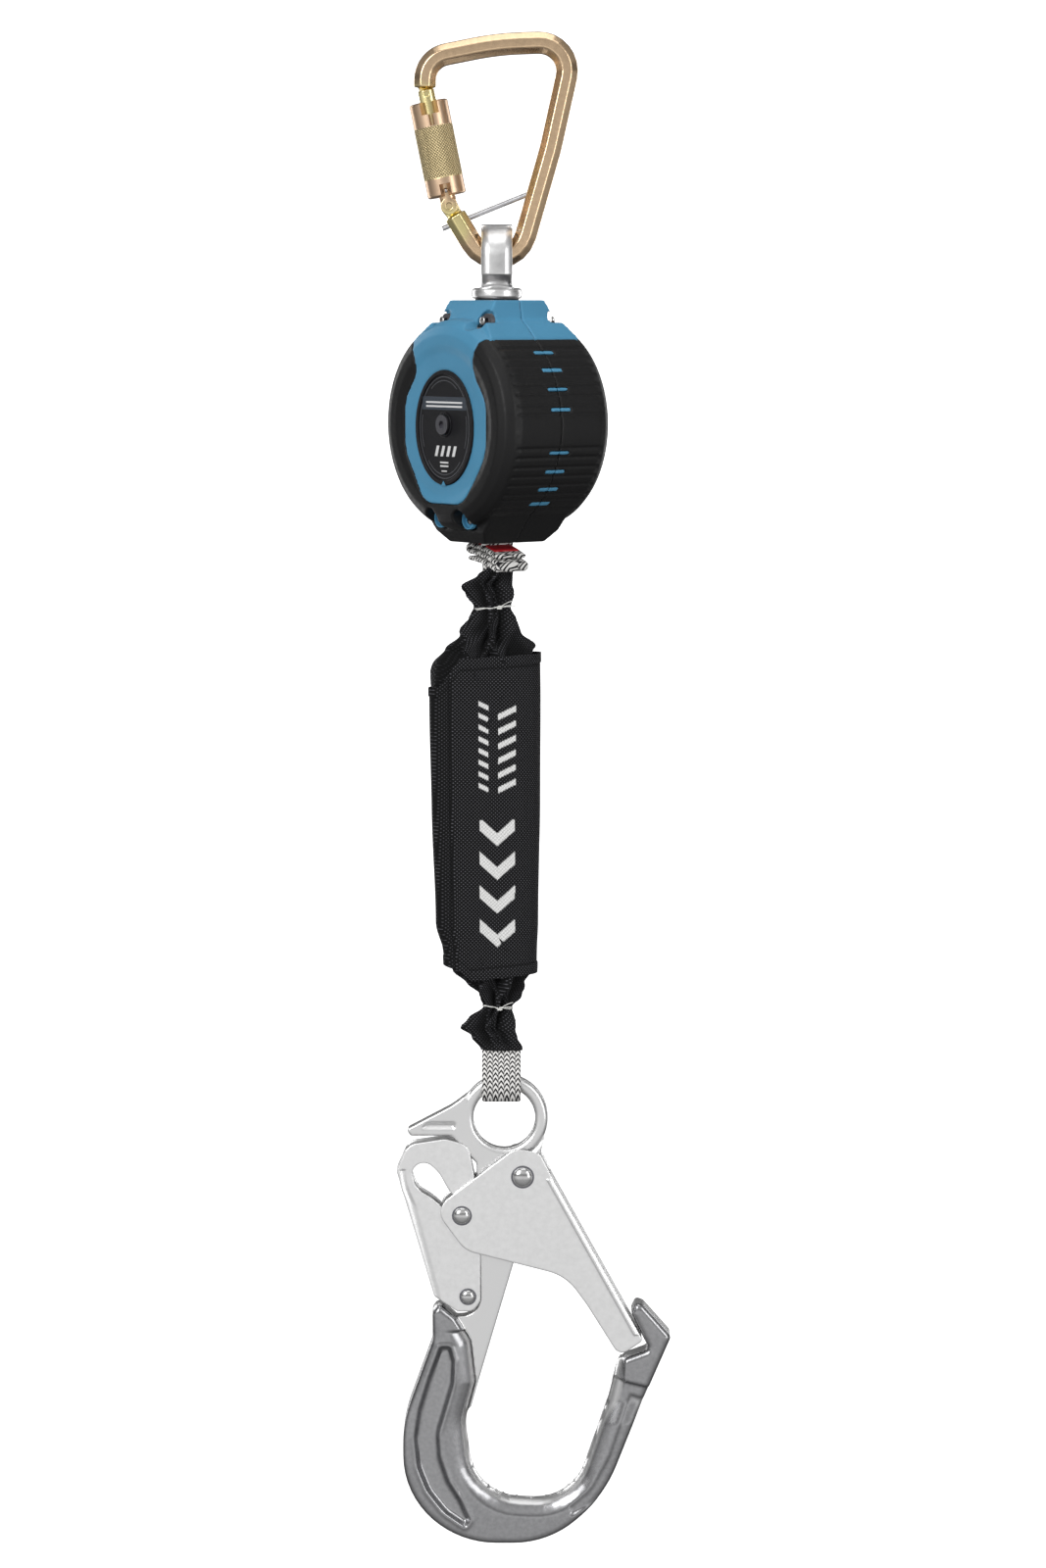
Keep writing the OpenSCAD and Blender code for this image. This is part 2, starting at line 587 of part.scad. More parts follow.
module hook_body() color(bright) difference() {
    union() {
        slab(-ring_t / 2, ring_t / 2) union() {
            translate(ring_c) circle(r = ring_out);
            polygon(beak);
        }
        slab(-core_t / 2, core_t / 2) polygon(neck);
        slab(-bowl_t / 2, bowl_t / 2) polygon(bowl);
    }
    rod(ring_c[0], ring_c[1], ring_in, -20, 20);
    rod(gate_pivot[0], gate_pivot[1], 3.5, -20, 20);
    rod(lever_pivot[0], lever_pivot[1], 2.5, -20, 20);
    // side pockets of the left limb
    for (m = [0, 1]) mirror([0, m, 0]) slab(-20, 2 - bowl_t / 2)
        polygon(rounded([[-29, -664, 3], [-23, -668, 4], [-20, -700, 20], [-20, -752, 3], [-42, -725, 16]]));
}
module gate_rivet() color(bright) {
    rod(gate_pivot[0], gate_pivot[1], 3.5, -gate_out, gate_out);
    for (s = [0, 1]) mirror([0, s, 0]) rod(gate_pivot[0], gate_pivot[1], 5.9, -gate_out - 2, -gate_out - gap);
}
module lever_rivet() color(bright) {
    rod(lever_pivot[0], lever_pivot[1], 2.5, -lever_out, lever_out);
    for (s = [0, 1]) mirror([0, s, 0]) rod(lever_pivot[0], lever_pivot[1], 3.8, -lever_out - 1.4, -lever_out - gap);
}
lever_in = core_t / 2 + gap;
lever_out = lever_in + plate_t;
gate_in = lever_out + gap;
gate_out = gate_in + plate_t;
gate_plan = rounded([[9, -558, 8], [22, -560.5, 6], [28, -573, 4], [75.8, -660, 2], [63.5, -668.5, 5],
    [46.5, -641, 30], [35.3, -625.5, 26], [-17, -612, 14], [-33, -590, 9]]);
gate_hollow = [[-50, -530], [45, -530], [45, -563], [25.2, -573], [80, -672], [40, -690], [-50, -620]];
module hook_gate() color(satin) difference() {
    slab(-gate_out, gate_out) polygon(gate_plan);
    slab(-gate_in, gate_in) polygon(gate_hollow);
    rod(gate_pivot[0], gate_pivot[1], 3.5 + run, -20, 20);
    rod(lock_at[0], lock_at[1], 3, -20, 20);
}
module lock_pin() color(bright) {
    rod(lock_at[0], lock_at[1], lock_r, -gate_in, gate_in);
    rod(lock_at[0], lock_at[1], 3, -gate_out, gate_out);
    for (s = [0, 1]) mirror([0, s, 0]) rod(lock_at[0], lock_at[1], 5, -gate_out - 1.8, -gate_out);
}
// Where the lock pin stands in the lever when both have turned by a share t of their travel
function turned_about(p, c, a) =
    let (d = p - c) c + [d[0] * cos(a) + d[1] * sin(a), d[1] * cos(a) - d[0] * sin(a)];
function lock_path(t) =
    turned_about(turned_about(lock_at, gate_pivot, hook_gate_travel * t), lever_pivot, -lever_travel * t);
path_steps = 10;
slot_r = lock_r + gap;
function path_side(t, s) =
    let (d = unit(lock_path(t + 0.01) - lock_path(t - 0.01))) lock_path(t) + s * slot_r * [d[1], -d[0]];
lever_plan = rounded([[-52.5, -570, 3], [-46.5, -556.5, 8], [-27, -553.5, 8], [-15, -557, 7], [-9, -590, 14],
    [-9, -640, 6], [-13, -645, 5], [-21, -645, 4], [-33, -637, 3]]);
lever_hollow = [[-48.5, -566.5], [-30.5, -634], [-24, -650], [10, -650], [10, -540], [-44, -540]];
function path_end(t, s) =
    let (d = s * unit(lock_path(t + 0.01) - lock_path(t - 0.01)))
    [for (a = [15:15:165]) lock_path(t) + slot_r * (cos(a) * [d[1], -d[0]] + sin(a) * d)];
module hook_lever() color(satin) difference() {
    slab(-lever_out, lever_out) polygon(lever_plan);
    slab(-lever_in, lever_in) polygon(lever_hollow);
    rod(lever_pivot[0], lever_pivot[1], 2.5 + run, -20, 20);
    // curved slot in which the lock pin runs
    slab(-20, 20) polygon(concat(
        [for (k = [0:path_steps]) path_side(k / path_steps, 1)],
        path_end(1, 1),
        [for (k = [path_steps:-1:0]) path_side(k / path_steps, -1)],
        path_end(0, -1)));
}
module lever_spring() color(steel) translate([-21, -3.4, -619]) rotate([-90, 0, 0]) coil_spring(3, 0.5, 6.8, 5);

carabiner_body();
captive_pin();
carabiner_gate_pin();
carabiner_gate();
gate_latch_pin();
gate_plunger();
gate_return_spring();
sleeve_spring();
locking_sleeve();
swivel_eye();
swivel_washer();
swivel_nut();
thrust_washer();
front_cover();
rear_cover();
front_grip();
rear_grip();
front_label();
rear_label();
label_screws();
cover_screws();
load_frame();
drum_axle();
ratchet_plate();
spring_case();
power_spring();
web_guide();
guide_pins();
inner_web_run();
drum();
drum_bushes();
webbing_coil();
web_anchor_pin();
pawl_pins();
pawl_springs();
pawl_1();
pawl_2();
lifeline_web();
stopper_fold();
load_indicator();
pack_cover();
tear_web();
label_wrap();
upper_tie();
lower_tie();
lower_web_loop();
hook_body();
gate_rivet();
lever_rivet();
lever_spring();
hook_gate();
lock_pin();
hook_lever();
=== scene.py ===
"""Looks of a self retracting lifeline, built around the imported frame. Metres, +Z up, -Y is the front."""

import json
import math
import random

import bmesh
import bpy
import numpy as np
from mathutils import Matrix, Vector, noise

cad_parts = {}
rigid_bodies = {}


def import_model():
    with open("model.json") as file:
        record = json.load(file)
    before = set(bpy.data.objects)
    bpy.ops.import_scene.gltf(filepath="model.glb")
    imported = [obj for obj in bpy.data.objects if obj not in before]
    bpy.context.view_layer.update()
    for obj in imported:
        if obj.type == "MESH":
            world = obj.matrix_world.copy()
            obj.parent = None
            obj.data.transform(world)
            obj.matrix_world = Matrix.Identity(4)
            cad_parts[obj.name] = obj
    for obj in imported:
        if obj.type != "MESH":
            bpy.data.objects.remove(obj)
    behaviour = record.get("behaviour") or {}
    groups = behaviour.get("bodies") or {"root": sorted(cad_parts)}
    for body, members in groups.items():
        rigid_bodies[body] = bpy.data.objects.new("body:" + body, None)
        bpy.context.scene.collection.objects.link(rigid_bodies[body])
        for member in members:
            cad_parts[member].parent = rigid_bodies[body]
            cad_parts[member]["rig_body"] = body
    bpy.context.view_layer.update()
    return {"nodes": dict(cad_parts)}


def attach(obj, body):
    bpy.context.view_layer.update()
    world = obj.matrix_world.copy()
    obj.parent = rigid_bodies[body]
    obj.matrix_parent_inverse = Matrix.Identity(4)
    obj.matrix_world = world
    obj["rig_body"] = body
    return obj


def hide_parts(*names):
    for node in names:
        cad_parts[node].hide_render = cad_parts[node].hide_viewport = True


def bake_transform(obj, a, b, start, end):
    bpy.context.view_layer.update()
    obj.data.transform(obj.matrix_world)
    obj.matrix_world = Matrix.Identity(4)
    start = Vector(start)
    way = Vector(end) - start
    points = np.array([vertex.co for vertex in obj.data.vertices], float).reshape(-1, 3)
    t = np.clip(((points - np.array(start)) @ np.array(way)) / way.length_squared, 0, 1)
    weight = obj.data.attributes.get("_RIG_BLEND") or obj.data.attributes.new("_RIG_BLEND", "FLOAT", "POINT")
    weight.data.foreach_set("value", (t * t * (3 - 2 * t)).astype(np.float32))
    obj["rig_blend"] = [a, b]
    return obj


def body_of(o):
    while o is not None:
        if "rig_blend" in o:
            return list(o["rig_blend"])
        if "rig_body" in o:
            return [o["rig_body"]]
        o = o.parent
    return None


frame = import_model()
nodes = frame["nodes"]
scene = bpy.context.scene
MM = 0.001

# ---------- camera, stage and light ----------


def make_camera():
    """Level with the housing, looking slightly down, as the object was photographed."""
    data = bpy.data.cameras.new("camera")
    data.sensor_fit = "VERTICAL"
    data.sensor_height = 36
    data.lens = 90
    camera = bpy.data.objects.new("camera", data)
    camera.location = (0.0132, -2.0, -0.125)
    camera.rotation_euler = (math.radians(90 - 6.95), 0, 0)
    scene.collection.objects.link(camera)
    scene.camera = camera


def area_light(name, place, target, size, power):
    """A rectangular soft box at place, facing target."""
    data = bpy.data.lights.new(name, "AREA")
    data.shape = "RECTANGLE"
    data.size, data.size_y = size
    data.energy = power
    light = bpy.data.objects.new(name, data)
    light.location = place
    light.rotation_euler = (Vector(target) - Vector(place)).to_track_quat("-Z", "Y").to_euler()
    scene.collection.objects.link(light)


def make_stage():
    """A pale floor that sweeps up into a backdrop, well below the lifeline's longest payout."""
    floor_z = -2.75
    floor_front = -14.0
    wall_y = 10.0
    wall_top = 7.0
    sweep_r = 2.5
    sweep_steps = 12
    width = 40
    profile = [(floor_front, floor_z), (wall_y - sweep_r, floor_z)]
    for k in range(1, sweep_steps + 1):
        a = math.radians(90 * k / sweep_steps)
        profile.append((wall_y - sweep_r + sweep_r * math.sin(a), floor_z + sweep_r * (1 - math.cos(a))))
    profile.append((wall_y, wall_top))
    verts = [(x, y, z) for y, z in profile for x in (-width / 2, width / 2)]
    faces = [(2 * i, 2 * i + 1, 2 * i + 3, 2 * i + 2) for i in range(len(profile) - 1)]
    mesh = bpy.data.meshes.new("backdrop")
    mesh.from_pydata(verts, [], faces)
    for p in mesh.polygons:
        p.use_smooth = True
    paper = Shader("paper")
    paper.surface((0.95, 0.95, 0.95), 0.9, Emission_Color=(1, 1, 1, 1), Emission_Strength=0.95)
    paper.bump(paper.noise(90), 0.02, 0.001)
    mesh.materials.append(paper.material)
    backdrop = bpy.data.objects.new("backdrop", mesh)
    scene.collection.objects.link(backdrop)
    backdrop.visible_glossy = False
    backdrop.visible_diffuse = False


def make_lights():
    """Soft boxes at the left, the right and the top, and two rim lights behind."""
    area_light("key", (-1.5, -1.9, 0.9), (0, 0, -0.35), (1.3, 1.6), 34)
    area_light("fill", (1.7, -1.5, 0.1), (0, 0, -0.4), (0.7, 1.9), 13)
    area_light("top", (0.1, -0.2, 1.5), (0, 0, -0.3), (1.4, 1.4), 9)
    area_light("rim_left", (-1.2, 1.2, -0.2), (0, 0, -0.4), (0.6, 1.6), 7)
    area_light("rim_right", (1.2, 1.2, -0.2), (0, 0, -0.4), (0.6, 1.6), 7)
    scene.view_settings.view_transform = "Standard"


def make_world():
    """What the metal mirrors: a pale room with a dark band just above level, and brighter at the front.
    The camera itself sees plain white."""
    greys = [(0.0, 0.4), (0.28, 0.5), (0.42, 0.95), (0.50, 0.75), (0.56, 0.15), (0.70, 0.75), (1.0, 0.6)]
    world = bpy.data.worlds.new("studio")
    scene.world = world
    world.use_nodes = True
    tree = Nodes(world.node_tree)
    towards = tree.node("ShaderNodeTexCoord").outputs["Generated"]
    split = tree.node("ShaderNodeSeparateXYZ", i0=towards).outputs
    ramp = tree.node("ShaderNodeValToRGB", i0=tree.range(split["Z"], -1, 1))
    while len(ramp.color_ramp.elements) < len(greys):
        ramp.color_ramp.elements.new(0.5)
    for element, (place, grey) in zip(ramp.color_ramp.elements, greys):
        element.position = place
        element.color = (grey, grey, grey, 1)
    room = world.node_tree.nodes["Background"]
    tree.feed(ramp.outputs["Color"], room.inputs["Color"])
    tree.feed(tree.range(split["Y"], -0.80, 0.20, 1.05, 0.30), room.inputs["Strength"])
    white = tree.node("ShaderNodeBackground", Color=(1, 1, 1, 1))
    seen = tree.node("ShaderNodeLightPath").outputs["Is Camera Ray"]
    blend = tree.node("ShaderNodeMixShader", i0=seen, i1=room.outputs[0], i2=white.outputs[0])
    tree.feed(blend.outputs[0], world.node_tree.nodes["World Output"].inputs["Surface"])


# ---------- materials ----------


class Nodes:
    """A node tree whose nodes are added by short calls."""

    def __init__(self, tree):
        self.tree = tree

    def node(self, kind, **inputs):
        """A new node with its inputs set by name, or by number as i0, i1 and i2."""
        made = self.tree.nodes.new(kind)
        for key, value in inputs.items():
            numbered = key in ("i0", "i1", "i2")
            self.feed(value, made.inputs[int(key[1]) if numbered else key])
        return made

    def feed(self, value, socket):
        if isinstance(value, bpy.types.NodeSocket):
            self.tree.links.new(value, socket)
        else:
            socket.default_value = value

    def calc(self, operation, a, b=0.0):
        made = self.node("ShaderNodeMath", i0=a, i1=b)
        made.operation = operation
        return made.outputs[0]

    def range(self, value, low, high, to_low=0.0, to_high=1.0):
        made = self.node("ShaderNodeMapRange", Value=value)
        made.inputs["From Min"].default_value = low
        made.inputs["From Max"].default_value = high
        made.inputs["To Min"].default_value = to_low
        made.inputs["To Max"].default_value = to_high
        return made.outputs["Result"]


class Shader(Nodes):
    """A material. Lengths are in metres of object space."""

    def __init__(self, name):
        self.material = bpy.data.materials.new(name)
        self.material.use_nodes = True
        super().__init__(self.material.node_tree)
        self.principled = self.tree.nodes["Principled BSDF"]
        self.coords = self.node("ShaderNodeTexCoord").outputs["Object"]
        self.height = None

    def turned(self, degrees):
        """Object coordinates turned about Z, for a piece that stands at an angle."""
        made = self.node("ShaderNodeMapping", Vector=self.coords)
        made.inputs["Rotation"].default_value = (0, 0, math.radians(degrees))
        return made.outputs[0]

    def split(self, vector=None):
        return self.node("ShaderNodeSeparateXYZ", i0=vector or self.coords).outputs

    def noise(self, scale, detail=3.0):
        return self.node("ShaderNodeTexNoise", Vector=self.coords, Scale=scale, Detail=detail).outputs["Fac"]

    def mottle(self, scale, detail=3.0, low=0.0, high=1.0):
        """Noise whose middle range is spread from low to high."""
        return self.range(self.noise(scale, detail), 0.3, 0.7, low, high)

    def mark(self, attribute):
        """A value that is stored on the mesh."""
        made = self.node("ShaderNodeAttribute")
        made.attribute_name = attribute
        return made.outputs["Fac"]

    def mix(self, factor, a, b):
        made = self.tree.nodes.new("ShaderNodeMix")
        made.data_type = "RGBA"
        self.feed(factor, made.inputs["Factor"])
        self.feed(a if isinstance(a, bpy.types.NodeSocket) else (*a, 1), made.inputs["A"])
        self.feed(b if isinstance(b, bpy.types.NodeSocket) else (*b, 1), made.inputs["B"])
        return made.outputs["Result"]

    def surface(self, colour, rough, metallic=0.0, **sockets):
        """Constant values, set on the shader itself."""
        self.principled.inputs["Base Color"].default_value = (*colour, 1)
        self.principled.inputs["Roughness"].default_value = rough
        self.principled.inputs["Metallic"].default_value = metallic
        for key, value in sockets.items():
            self.principled.inputs[key.replace("_", " ")].default_value = value

    def colour(self, value):
        self.feed(value, self.principled.inputs["Base Color"])

    def rough(self, value):
        self.feed(value, self.principled.inputs["Roughness"])

    def bump(self, height, strength, distance):
        """Adds a height to the surface's bump, on top of what is there."""
        made = self.node("ShaderNodeBump", Height=height, Strength=strength, Distance=distance)
        if self.height:
            self.tree.links.new(self.height, made.inputs["Normal"])
        self.height = made.outputs[0]
        self.tree.links.new(self.height, self.principled.inputs["Normal"])


def shaded(colour, share):
    """The colour, times share."""
    return tuple(c * share for c in colour)


def metal(name, colour, rough, shade=0.9, grain=0.03):
    """Metal with a slightly uneven tone and a faint cast grain."""
    s = Shader(name)
    s.surface(colour, rough, 1.0)
    s.colour(s.mix(s.mottle(420), shaded(colour, shade), colour))
    s.rough(s.mottle(260, 3, rough * 0.92, rough * 1.1))
    s.bump(s.noise(1800, 2), grain, 0.0001)
    return s.material


def plated_gold(name, colour, rough):
    """Zinc plating: coppery, and yellow round the nose and the hinge of the carabiner."""
    yellow = (0.86, 0.78, 0.36)
    nose_z = -0.0235
    hinge_z = -0.0835
    s = Shader(name)
    s.surface(colour, rough, 1.0)
    place = s.split()
    gate_side = s.range(place["X"], -0.016, -0.012, 1.0, 0.0)
    tone = s.mix(s.mottle(420), shaded(colour, 0.88), colour)
    for middle in (nose_z, hinge_z):
        off = s.calc("ABSOLUTE", s.calc("SUBTRACT", place["Z"], middle))
        near = s.calc("MULTIPLY", s.range(off, 0.005, 0.012, 0.75, 0.0), gate_side)
        tone = s.mix(near, tone, yellow)
    s.colour(tone)
    s.bump(s.noise(1800, 2), 0.03, 0.0001)
    return s.material


def forged(name):
    """Forged aluminium: bright where it was ground at the ring and the neck, duller round the bowl."""
    s = Shader(name)
    s.surface((0.45, 0.45, 0.46), 0.27, 1.0)
    bowl = s.mix(s.mottle(500, 4), (0.32, 0.32, 0.33), (0.38, 0.38, 0.39))
    thick = s.range(s.calc("ABSOLUTE", s.split()["Y"]), 0.0045, 0.0060)
    s.colour(s.mix(thick, (0.80, 0.80, 0.80), bowl))
    s.rough(s.range(thick, 0, 1, 0.34, 0.25))
    s.bump(s.noise(900, 3), 0.05, 0.0002)
    return s.material


def knurled(name, colour, rough):
    """Plated metal whose knurled grooves, marked on the mesh, are rougher and darkened with painted shade."""
    s = Shader(name)
    s.surface(colour, rough, 1.0)
    groove = s.mark("groove")
    ground = s.mix(s.mark("plain_end"), colour, (0.66, 0.47, 0.32))
    # Painted shade: the groove mark darkens the valleys of the knurl.
    s.colour(s.mix(groove, ground, shaded(colour, 0.25)))
    s.rough(s.range(groove, 0, 1, rough, 0.6))
    s.bump(s.noise(1800, 2), 0.03, 0.0001)
    return s.material


def plastic(name, colour, rough, grain=0.1):
    """Moulded plastic or rubber: a fine spark-eroded grain over a slightly uneven tone."""
    s = Shader(name)
    s.surface(colour, rough, Specular_IOR_Level=0.28)
    s.colour(s.mix(s.mottle(45, 4), shaded(colour, 0.9), colour))
    s.rough(s.mottle(400, 3, rough * 0.85, rough * 1.15))
    s.bump(s.noise(2600, 2), grain, 0.0002)
    return s.material


def webbing(name, yaw):
    """Braided polyester webbing: columns of pale yarn with dark dashes that slant to and fro."""
    light = (0.86, 0.85, 0.83)
    dark = (0.012, 0.012, 0.014)
    column_w = 0.0029
    dash_l = 0.0029
    s = Shader(name)
    s.surface(light, 0.75, Specular_IOR_Level=0.2)
    x, y, z = s.split(s.turned(yaw))
    across = s.calc("DIVIDE", s.calc("ADD", x, 1.0), column_w)
    column = s.calc("FLOOR", across)
    inside = s.calc("ABSOLUTE", s.calc("SUBTRACT", s.calc("FRACT", across), 0.5))
    down = s.calc("DIVIDE", s.calc("ADD", z, s.calc("MULTIPLY", y, 0.6)), dash_l)
    stagger = s.calc("ADD", s.calc("MULTIPLY", column, 0.5), s.calc("MULTIPLY", inside, 1.5))
    along = s.calc("ADD", s.calc("ADD", down, stagger), 2000.0)
    dash = s.calc("ABSOLUTE", s.calc("SUBTRACT", s.calc("FRACT", along), 0.5))
    mark = s.range(dash, 0.20, 0.25, 1.0, 0.0)
    seam = s.range(inside, 0.42, 0.48, 0.0, 0.55)
    ink = s.calc("MAXIMUM", mark, seam)
    s.colour(s.mix(ink, light, dark))
    s.bump(s.calc("SUBTRACT", 1.0, ink), 0.5, 0.0004)
    s.bump(s.noise(2500, 2), 0.15, 0.0002)
    return s.material


def cloth(name, colour, printed=False):
    """Coarse woven nylon: a basket weave in the plane of the cloth, darker where the mesh's crease mark is
    set, which paints shade into the creases. A printed cloth has white ink where the mesh is marked for it."""
    pitch = 0.0019
    s = Shader(name)
    s.surface(colour, 0.85, Specular_IOR_Level=0.2)
    x, y, z = s.split()
    turn = 2 * math.pi / pitch
    warp = s.calc("SINE", s.calc("MULTIPLY", s.calc("ADD", x, y), turn))
    weft = s.calc("SINE", s.calc("MULTIPLY", z, turn))
    weave = s.calc("MULTIPLY", warp, weft)
    tone = s.range(weave, 0.45, 0.9)
    base = s.mix(tone, shaded(colour, 0.35), shaded(colour, 6.0))
    # Painted shade: the crease mark darkens the gathers' valleys, the wrap's fold and its left flank, and
    # also the wrap's stitch lines.
    base = s.mix(s.mark("crease"), base, shaded(colour, 0.12))
    if printed:
        ink = s.calc("MULTIPLY", s.mark("print"), s.range(tone, 0, 1, 0.86, 1.0))
        base = s.mix(ink, base, (0.86, 0.86, 0.85))
    s.colour(base)
    s.bump(weave, 0.6, 0.0004)
    s.bump(s.noise(140, 4), 0.25, 0.001)
    return s.material


make_camera()
make_stage()
make_lights()
make_world()

GOLD = plated_gold("zinc_gold", (0.84, 0.61, 0.39), 0.24)
KNURLED = knurled("zinc_yellow_knurled", (0.74, 0.60, 0.34), 0.33)
EYE = metal("brushed_steel", (0.80, 0.80, 0.80), 0.33)
STEEL = metal("steel", (0.66, 0.66, 0.68), 0.28)
DARK_STEEL = metal("dark_steel", (0.20, 0.20, 0.22), 0.38)
POLISHED = metal("polished_steel", (0.62, 0.62, 0.62), 0.18)
FORGED = forged("forged_aluminium")
SATIN = metal("satin_plate", (0.93, 0.93, 0.93), 0.40, shade=0.93, grain=0.14)
BRONZE = metal("bronze", (0.62, 0.42, 0.20), 0.35)
BLUE = plastic("blue_shell", (0.075, 0.27, 0.44), 0.42)
BLACK = plastic("black_rubber", (0.0065, 0.0065, 0.007), 0.46, grain=0.18)
LABEL = plastic("label_black", (0.008, 0.008, 0.010), 0.35, grain=0.03)
LABEL_GREY = plastic("label_grey", (0.045, 0.055, 0.07), 0.4, grain=0.03)
LABEL_RING = plastic("label_ring", (0.10, 0.105, 0.115), 0.4, grain=0.03)
WASHER = plastic("washer_black", (0.02, 0.02, 0.02), 0.6)
RED = plastic("signal_red", (0.60, 0.02, 0.03), 0.6)
PRINT = plastic("white_print", (0.72, 0.72, 0.72), 0.5, grain=0.05)
THREAD = plastic("white_thread", (0.80, 0.80, 0.77), 0.8, grain=0.6)
WEB_STRAP = webbing("strap_webbing", -142)
WEB_LOOP = webbing("loop_webbing", 0)
CLOTH = cloth("pack_cloth", (0.018, 0.018, 0.020))
WRAP = cloth("pack_wrap", (0.020, 0.020, 0.022), printed=True)

FINISHES = {
    GOLD: ["carabiner_gate_pin", "gate_latch_pin", "carabiner_body", "carabiner_gate", "locking_sleeve"],
    STEEL: ["captive_pin", "gate_plunger", "gate_return_spring", "sleeve_spring", "load_frame", "drum_axle",
            "power_spring", "web_anchor_pin", "pawl_pins", "pawl_springs", "lever_spring"],
    DARK_STEEL: ["swivel_nut", "cover_screws", "label_screws", "ratchet_plate", "spring_case", "web_guide",
                 "pawl_1", "pawl_2"],
    EYE: ["swivel_eye"],
    POLISHED: ["guide_pins", "gate_rivet", "lever_rivet", "lock_pin"],
    FORGED: ["hook_body"],
    SATIN: ["hook_gate", "hook_lever", "drum"],
    BRONZE: ["thrust_washer", "drum_bushes"],
    BLUE: ["front_cover", "rear_cover"],
    BLACK: ["front_grip", "rear_grip"],
    LABEL: ["front_label", "rear_label"],
    WASHER: ["swivel_washer"],
    RED: ["load_indicator"],
    THREAD: ["upper_tie", "lower_tie"],
    WEB_STRAP: ["inner_web_run", "webbing_coil", "lifeline_web", "stopper_fold"],
    WEB_LOOP: ["tear_web", "lower_web_loop"],
    CLOTH: ["pack_cover"],
    WRAP: ["label_wrap"],
}
for material, names in FINISHES.items():
    for name in names:
        for place in nodes[name].material_slots:
            place.material = material

# ---------- building pieces ----------

# The housing's turn about Z and the middle of its disc
HOUSING_YAW = -52
DISC = Vector((0, 0, -184.2)) * MM
IN_HOUSING = Matrix.Translation(DISC) @ Matrix.Rotation(math.radians(HOUSING_YAW), 4, "Z")
ACROSS_HOUSING = Matrix.Rotation(math.radians(HOUSING_YAW + 90), 4, "Z")

# The lean of the carabiner's gate about its hinge
GATE_LEAN = -11.4
GATE_PIVOT = Vector((-24, 0, -75)) * MM
AT_GATE = Matrix.Translation(GATE_PIVOT) @ Matrix.Rotation(math.radians(GATE_LEAN), 4, "Y")


def stand_for(piece, *names):
    """The piece replaces these CAD nodes and moves with their body."""
    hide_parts(*names)
    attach(piece, body_of(nodes[names[0]])[0])
    return piece


def trim(piece, node):
    """The piece is added detail on a CAD node: it moves with it."""
    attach(piece, body_of(nodes[node])[0])
    return piece


def new_piece(name, mesh, *materials):
    piece = bpy.data.objects.new(name, mesh)
    scene.collection.objects.link(piece)
    mesh.materials.clear()
    for material in materials:
        mesh.materials.append(material)
    return piece


def mesh_from(name, verts, faces):
    """A smooth mesh from points in metres."""
    mesh = bpy.data.meshes.new(name)
    mesh.from_pydata([tuple(v) for v in verts], [], faces)
    mesh.validate()
    for p in mesh.polygons:
        p.use_smooth = True
    return mesh


def skin(rings, around, closed=False, flip=False):
    """Faces between rings of points, each ring joined to the next one. Flip turns them inside out."""
    faces = []
    for i in range(rings if closed else rings - 1):
        a = i * around
        b = (i + 1) % rings * around
        for k in range(around):
            n = (k + 1) % around
            if flip:
                faces.append((a + k, b + k, b + n, a + n))
            else:
                faces.append((a + k, a + n, b + n, b + k))
    return faces


def caps(rings, around, flip=False):
    """The faces that close the first and the last ring."""
    first = tuple(range(around))
    last = tuple(range((rings - 1) * around, rings * around))
    return [first, last[::-1]] if flip else [first[::-1], last]


def bake(piece):
    """Applies the piece's modifiers."""
    graph = bpy.context.evaluated_depsgraph_get()
    made = bpy.data.meshes.new_from_object(piece.evaluated_get(graph))
    piece.modifiers.clear()
    piece.data = made


def points_of(mesh):
    flat = np.empty(len(mesh.vertices) * 3)
    mesh.vertices.foreach_get("co", flat)
    return flat.reshape(-1, 3)


def set_points(mesh, points):
    mesh.vertices.foreach_set("co", np.ascontiguousarray(points).ravel())
    mesh.update()


def soften(name, material, voxel, passes, keep=0.5, reshape=None, engrave=None):
    """A CAD node with its edges rounded: voxel remesh in millimetres, smoothing, then fewer faces.
    Reshape moves the points before the smoothing, and engrave after it."""
    piece = new_piece(name + "_soft", nodes[name].data.copy(), material)
    remesh = piece.modifiers.new("remesh", "REMESH")
    remesh.mode = "VOXEL"
    remesh.voxel_size = voxel * MM
    bake(piece)
    if reshape:
        set_points(piece.data, reshape(points_of(piece.data)))
    smooth = piece.modifiers.new("smooth", "SMOOTH")
    smooth.factor = 0.5
    smooth.iterations = passes
    if engrave:
        bake(piece)
        set_points(piece.data, engrave(points_of(piece.data)))
    fewer = piece.modifiers.new("fewer", "DECIMATE")
    fewer.ratio = keep
    bake(piece)
    for p in piece.data.polygons:
        p.use_smooth = True
    return stand_for(piece, name)


def bend(corner, before, after, radius, steps):
    """Points of the arc that rounds a corner, in the plane."""
    b = Vector(corner)
    u = (Vector(before) - b).normalized()
    v = (Vector(after) - b).normalized()
    half = math.acos(max(-1, min(1, u.dot(v)))) / 2
    centre = b + (u + v).normalized() * radius / math.sin(half)
    start = b + u * radius / math.tan(half) - centre
    end = b + v * radius / math.tan(half) - centre
    sweep = math.atan2(start.x * end.y - start.y * end.x, start.dot(end))
    return [centre + Matrix.Rotation(sweep * k / steps, 2) @ start for k in range(steps + 1)]


def rounded(corners, steps=8):
    """Closed outline through corners (x, z, radius), each rounded by its radius."""
    points = []
    for i, (x, z, radius) in enumerate(corners):
        after = corners[(i + 1) % len(corners)]
        points += bend((x, z), corners[i - 1][:2], after[:2], radius, steps)
    return points


def arc(cx, cz, rx, rz, start, end, steps=24):
    """Points of an ellipse from start to end, in degrees."""
    return [Vector((cx + rx * math.cos(math.radians(a)), cz + rz * math.sin(math.radians(a))))
            for a in np.linspace(start, end, steps + 1)]


def circle(radius, steps=40):
    """A closed circle round the origin."""
    return arc(0, 0, radius, radius, 0, 360, steps)[:-1]


